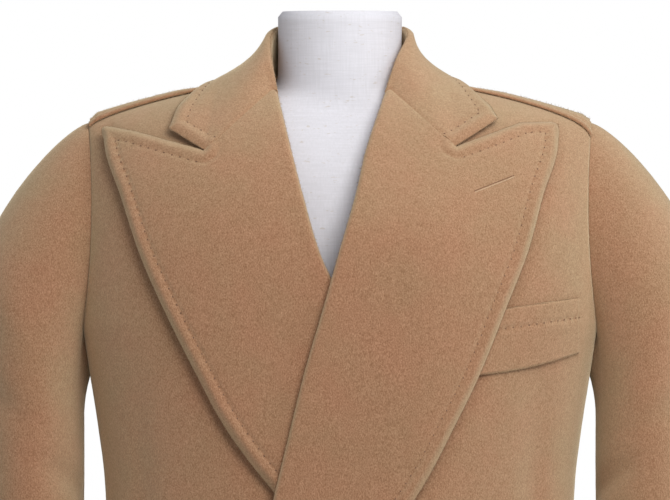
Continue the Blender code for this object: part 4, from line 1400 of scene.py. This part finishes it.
stitches = stitch_tree()
sewn = [
    # edge stitches: beads of thread, dark so that they also stand for painted shade in their dimples
    lay_along("edge_stitching", stitch_paths, stitches,
              Pitch=STITCH_PITCH, Length=0.0019, Thickness=0.0011, Thread=TWIST_WITH_PAINTED_SHADE),
    # the slit: a row of dark thread beads, which also paints the shade of the slit's gap
    lay_along("buttonhole_slit_painted_shade", [buttonhole_line(-BUTTONHOLE_HALF / 2)], stitches,
              Pitch=0.0006, Length=0.0010, Thickness=0.0011, Thread=TWIST_WITH_PAINTED_SHADE),
    lay_along("buttonhole_edging", [buttonhole_line(BUTTONHOLE_HALF)], stitches,
              Pitch=0.0007, Length=0.0009, Thickness=0.0012, Thread=PALE_TWIST),
    lay_along("edge_nap", fuzzy_edges, nap_tree(),
              Pitch=0.00022, Length=0.0026, Thickness=0.0002, Thread=WOOL),
]


# Bodies: every piece hangs from the root body, and the parts that the cloth and other pieces stand for are
# hidden

for node, piece in pieces.items():
    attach(piece, "root")
    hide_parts(node)
for piece in sewn:
    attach(piece, "root")


# Studio

PHOTO_CENTRE = Vector((-0.0044, -0.09, 1.2374))    # what the middle of the picture shows
PHOTO_WIDTH = 0.5896                              # width of the picture at that depth
CAMERA_AWAY = 10.0
FLOOR_HALF = 4.0
AMBIENT = 0.40            # strength of the light from all around
CHEST = Vector((0.0, 0.0, 1.25))                  # what the lights aim at
# Lights: name, place, size, power, colour
LIGHTS = (
    ("overhead", (0.4, -1.3, 2.9), 1.8, 8.0, "#FFFEFB"),
    ("front", (0.75, -1.75, 2.35), 1.3, 27.0, "#FFFEFC"),
    ("side", (2.4, -0.9, 1.8), 1.2, 7.0, "#FFFFFF"),
)


def add_light(name, place, size, power, colour):
    data = bpy.data.lights.new(name, "AREA")
    data.shape = "DISK"
    data.size = size
    data.energy = power
    data.color = linear(colour)[:3]
    light = bpy.data.objects.new(name, data)
    light.location = place
    light.rotation_euler = (CHEST - Vector(place)).to_track_quat("-Z", "Y").to_euler()
    bpy.context.scene.collection.objects.link(light)


def studio():
    scene = bpy.context.scene
    scene.view_settings.view_transform = "Standard"
    paint, tree, shader, _ = new_material("pale_floor")
    feed(tree, shader, {"Base Color": linear("#E4E2DF"), "Roughness": 0.8})
    corners = [(x * FLOOR_HALF, y * FLOOR_HALF, 0) for x, y in ((-1, -1), (1, -1), (1, 1), (-1, 1))]
    floor = add_piece("floor", corners, [(0, 1, 2, 3)], paint)
    for light in LIGHTS:
        add_light(*light)
    world = bpy.data.worlds.new("studio")
    world.use_nodes = True
    scene.world = world
    tree = world.node_tree
    tree.nodes.clear()
    ambient = add_node(tree, "ShaderNodeBackground", {"Color": linear("#F6F7FA"), "Strength": AMBIENT})
    white = add_node(tree, "ShaderNodeBackground", {"Color": linear("#FFFFFF"), "Strength": 1.0})
    ray = add_node(tree, "ShaderNodeLightPath")
    shown = add_node(tree, "ShaderNodeMixShader", {
        0: ray.outputs["Is Camera Ray"], 1: ambient.outputs["Background"], 2: white.outputs["Background"]})
    add_node(tree, "ShaderNodeOutputWorld", {"Surface": shown.outputs["Shader"]})
    lens = bpy.data.cameras.new("camera")
    lens.sensor_width = 36.0
    lens.lens = lens.sensor_width * CAMERA_AWAY / PHOTO_WIDTH
    camera = bpy.data.objects.new("camera", lens)
    camera.location = PHOTO_CENTRE - Vector((0, CAMERA_AWAY, 0))
    camera.rotation_euler = (math.pi / 2, 0, 0)
    scene.collection.objects.link(camera)
    scene.camera = camera


studio()
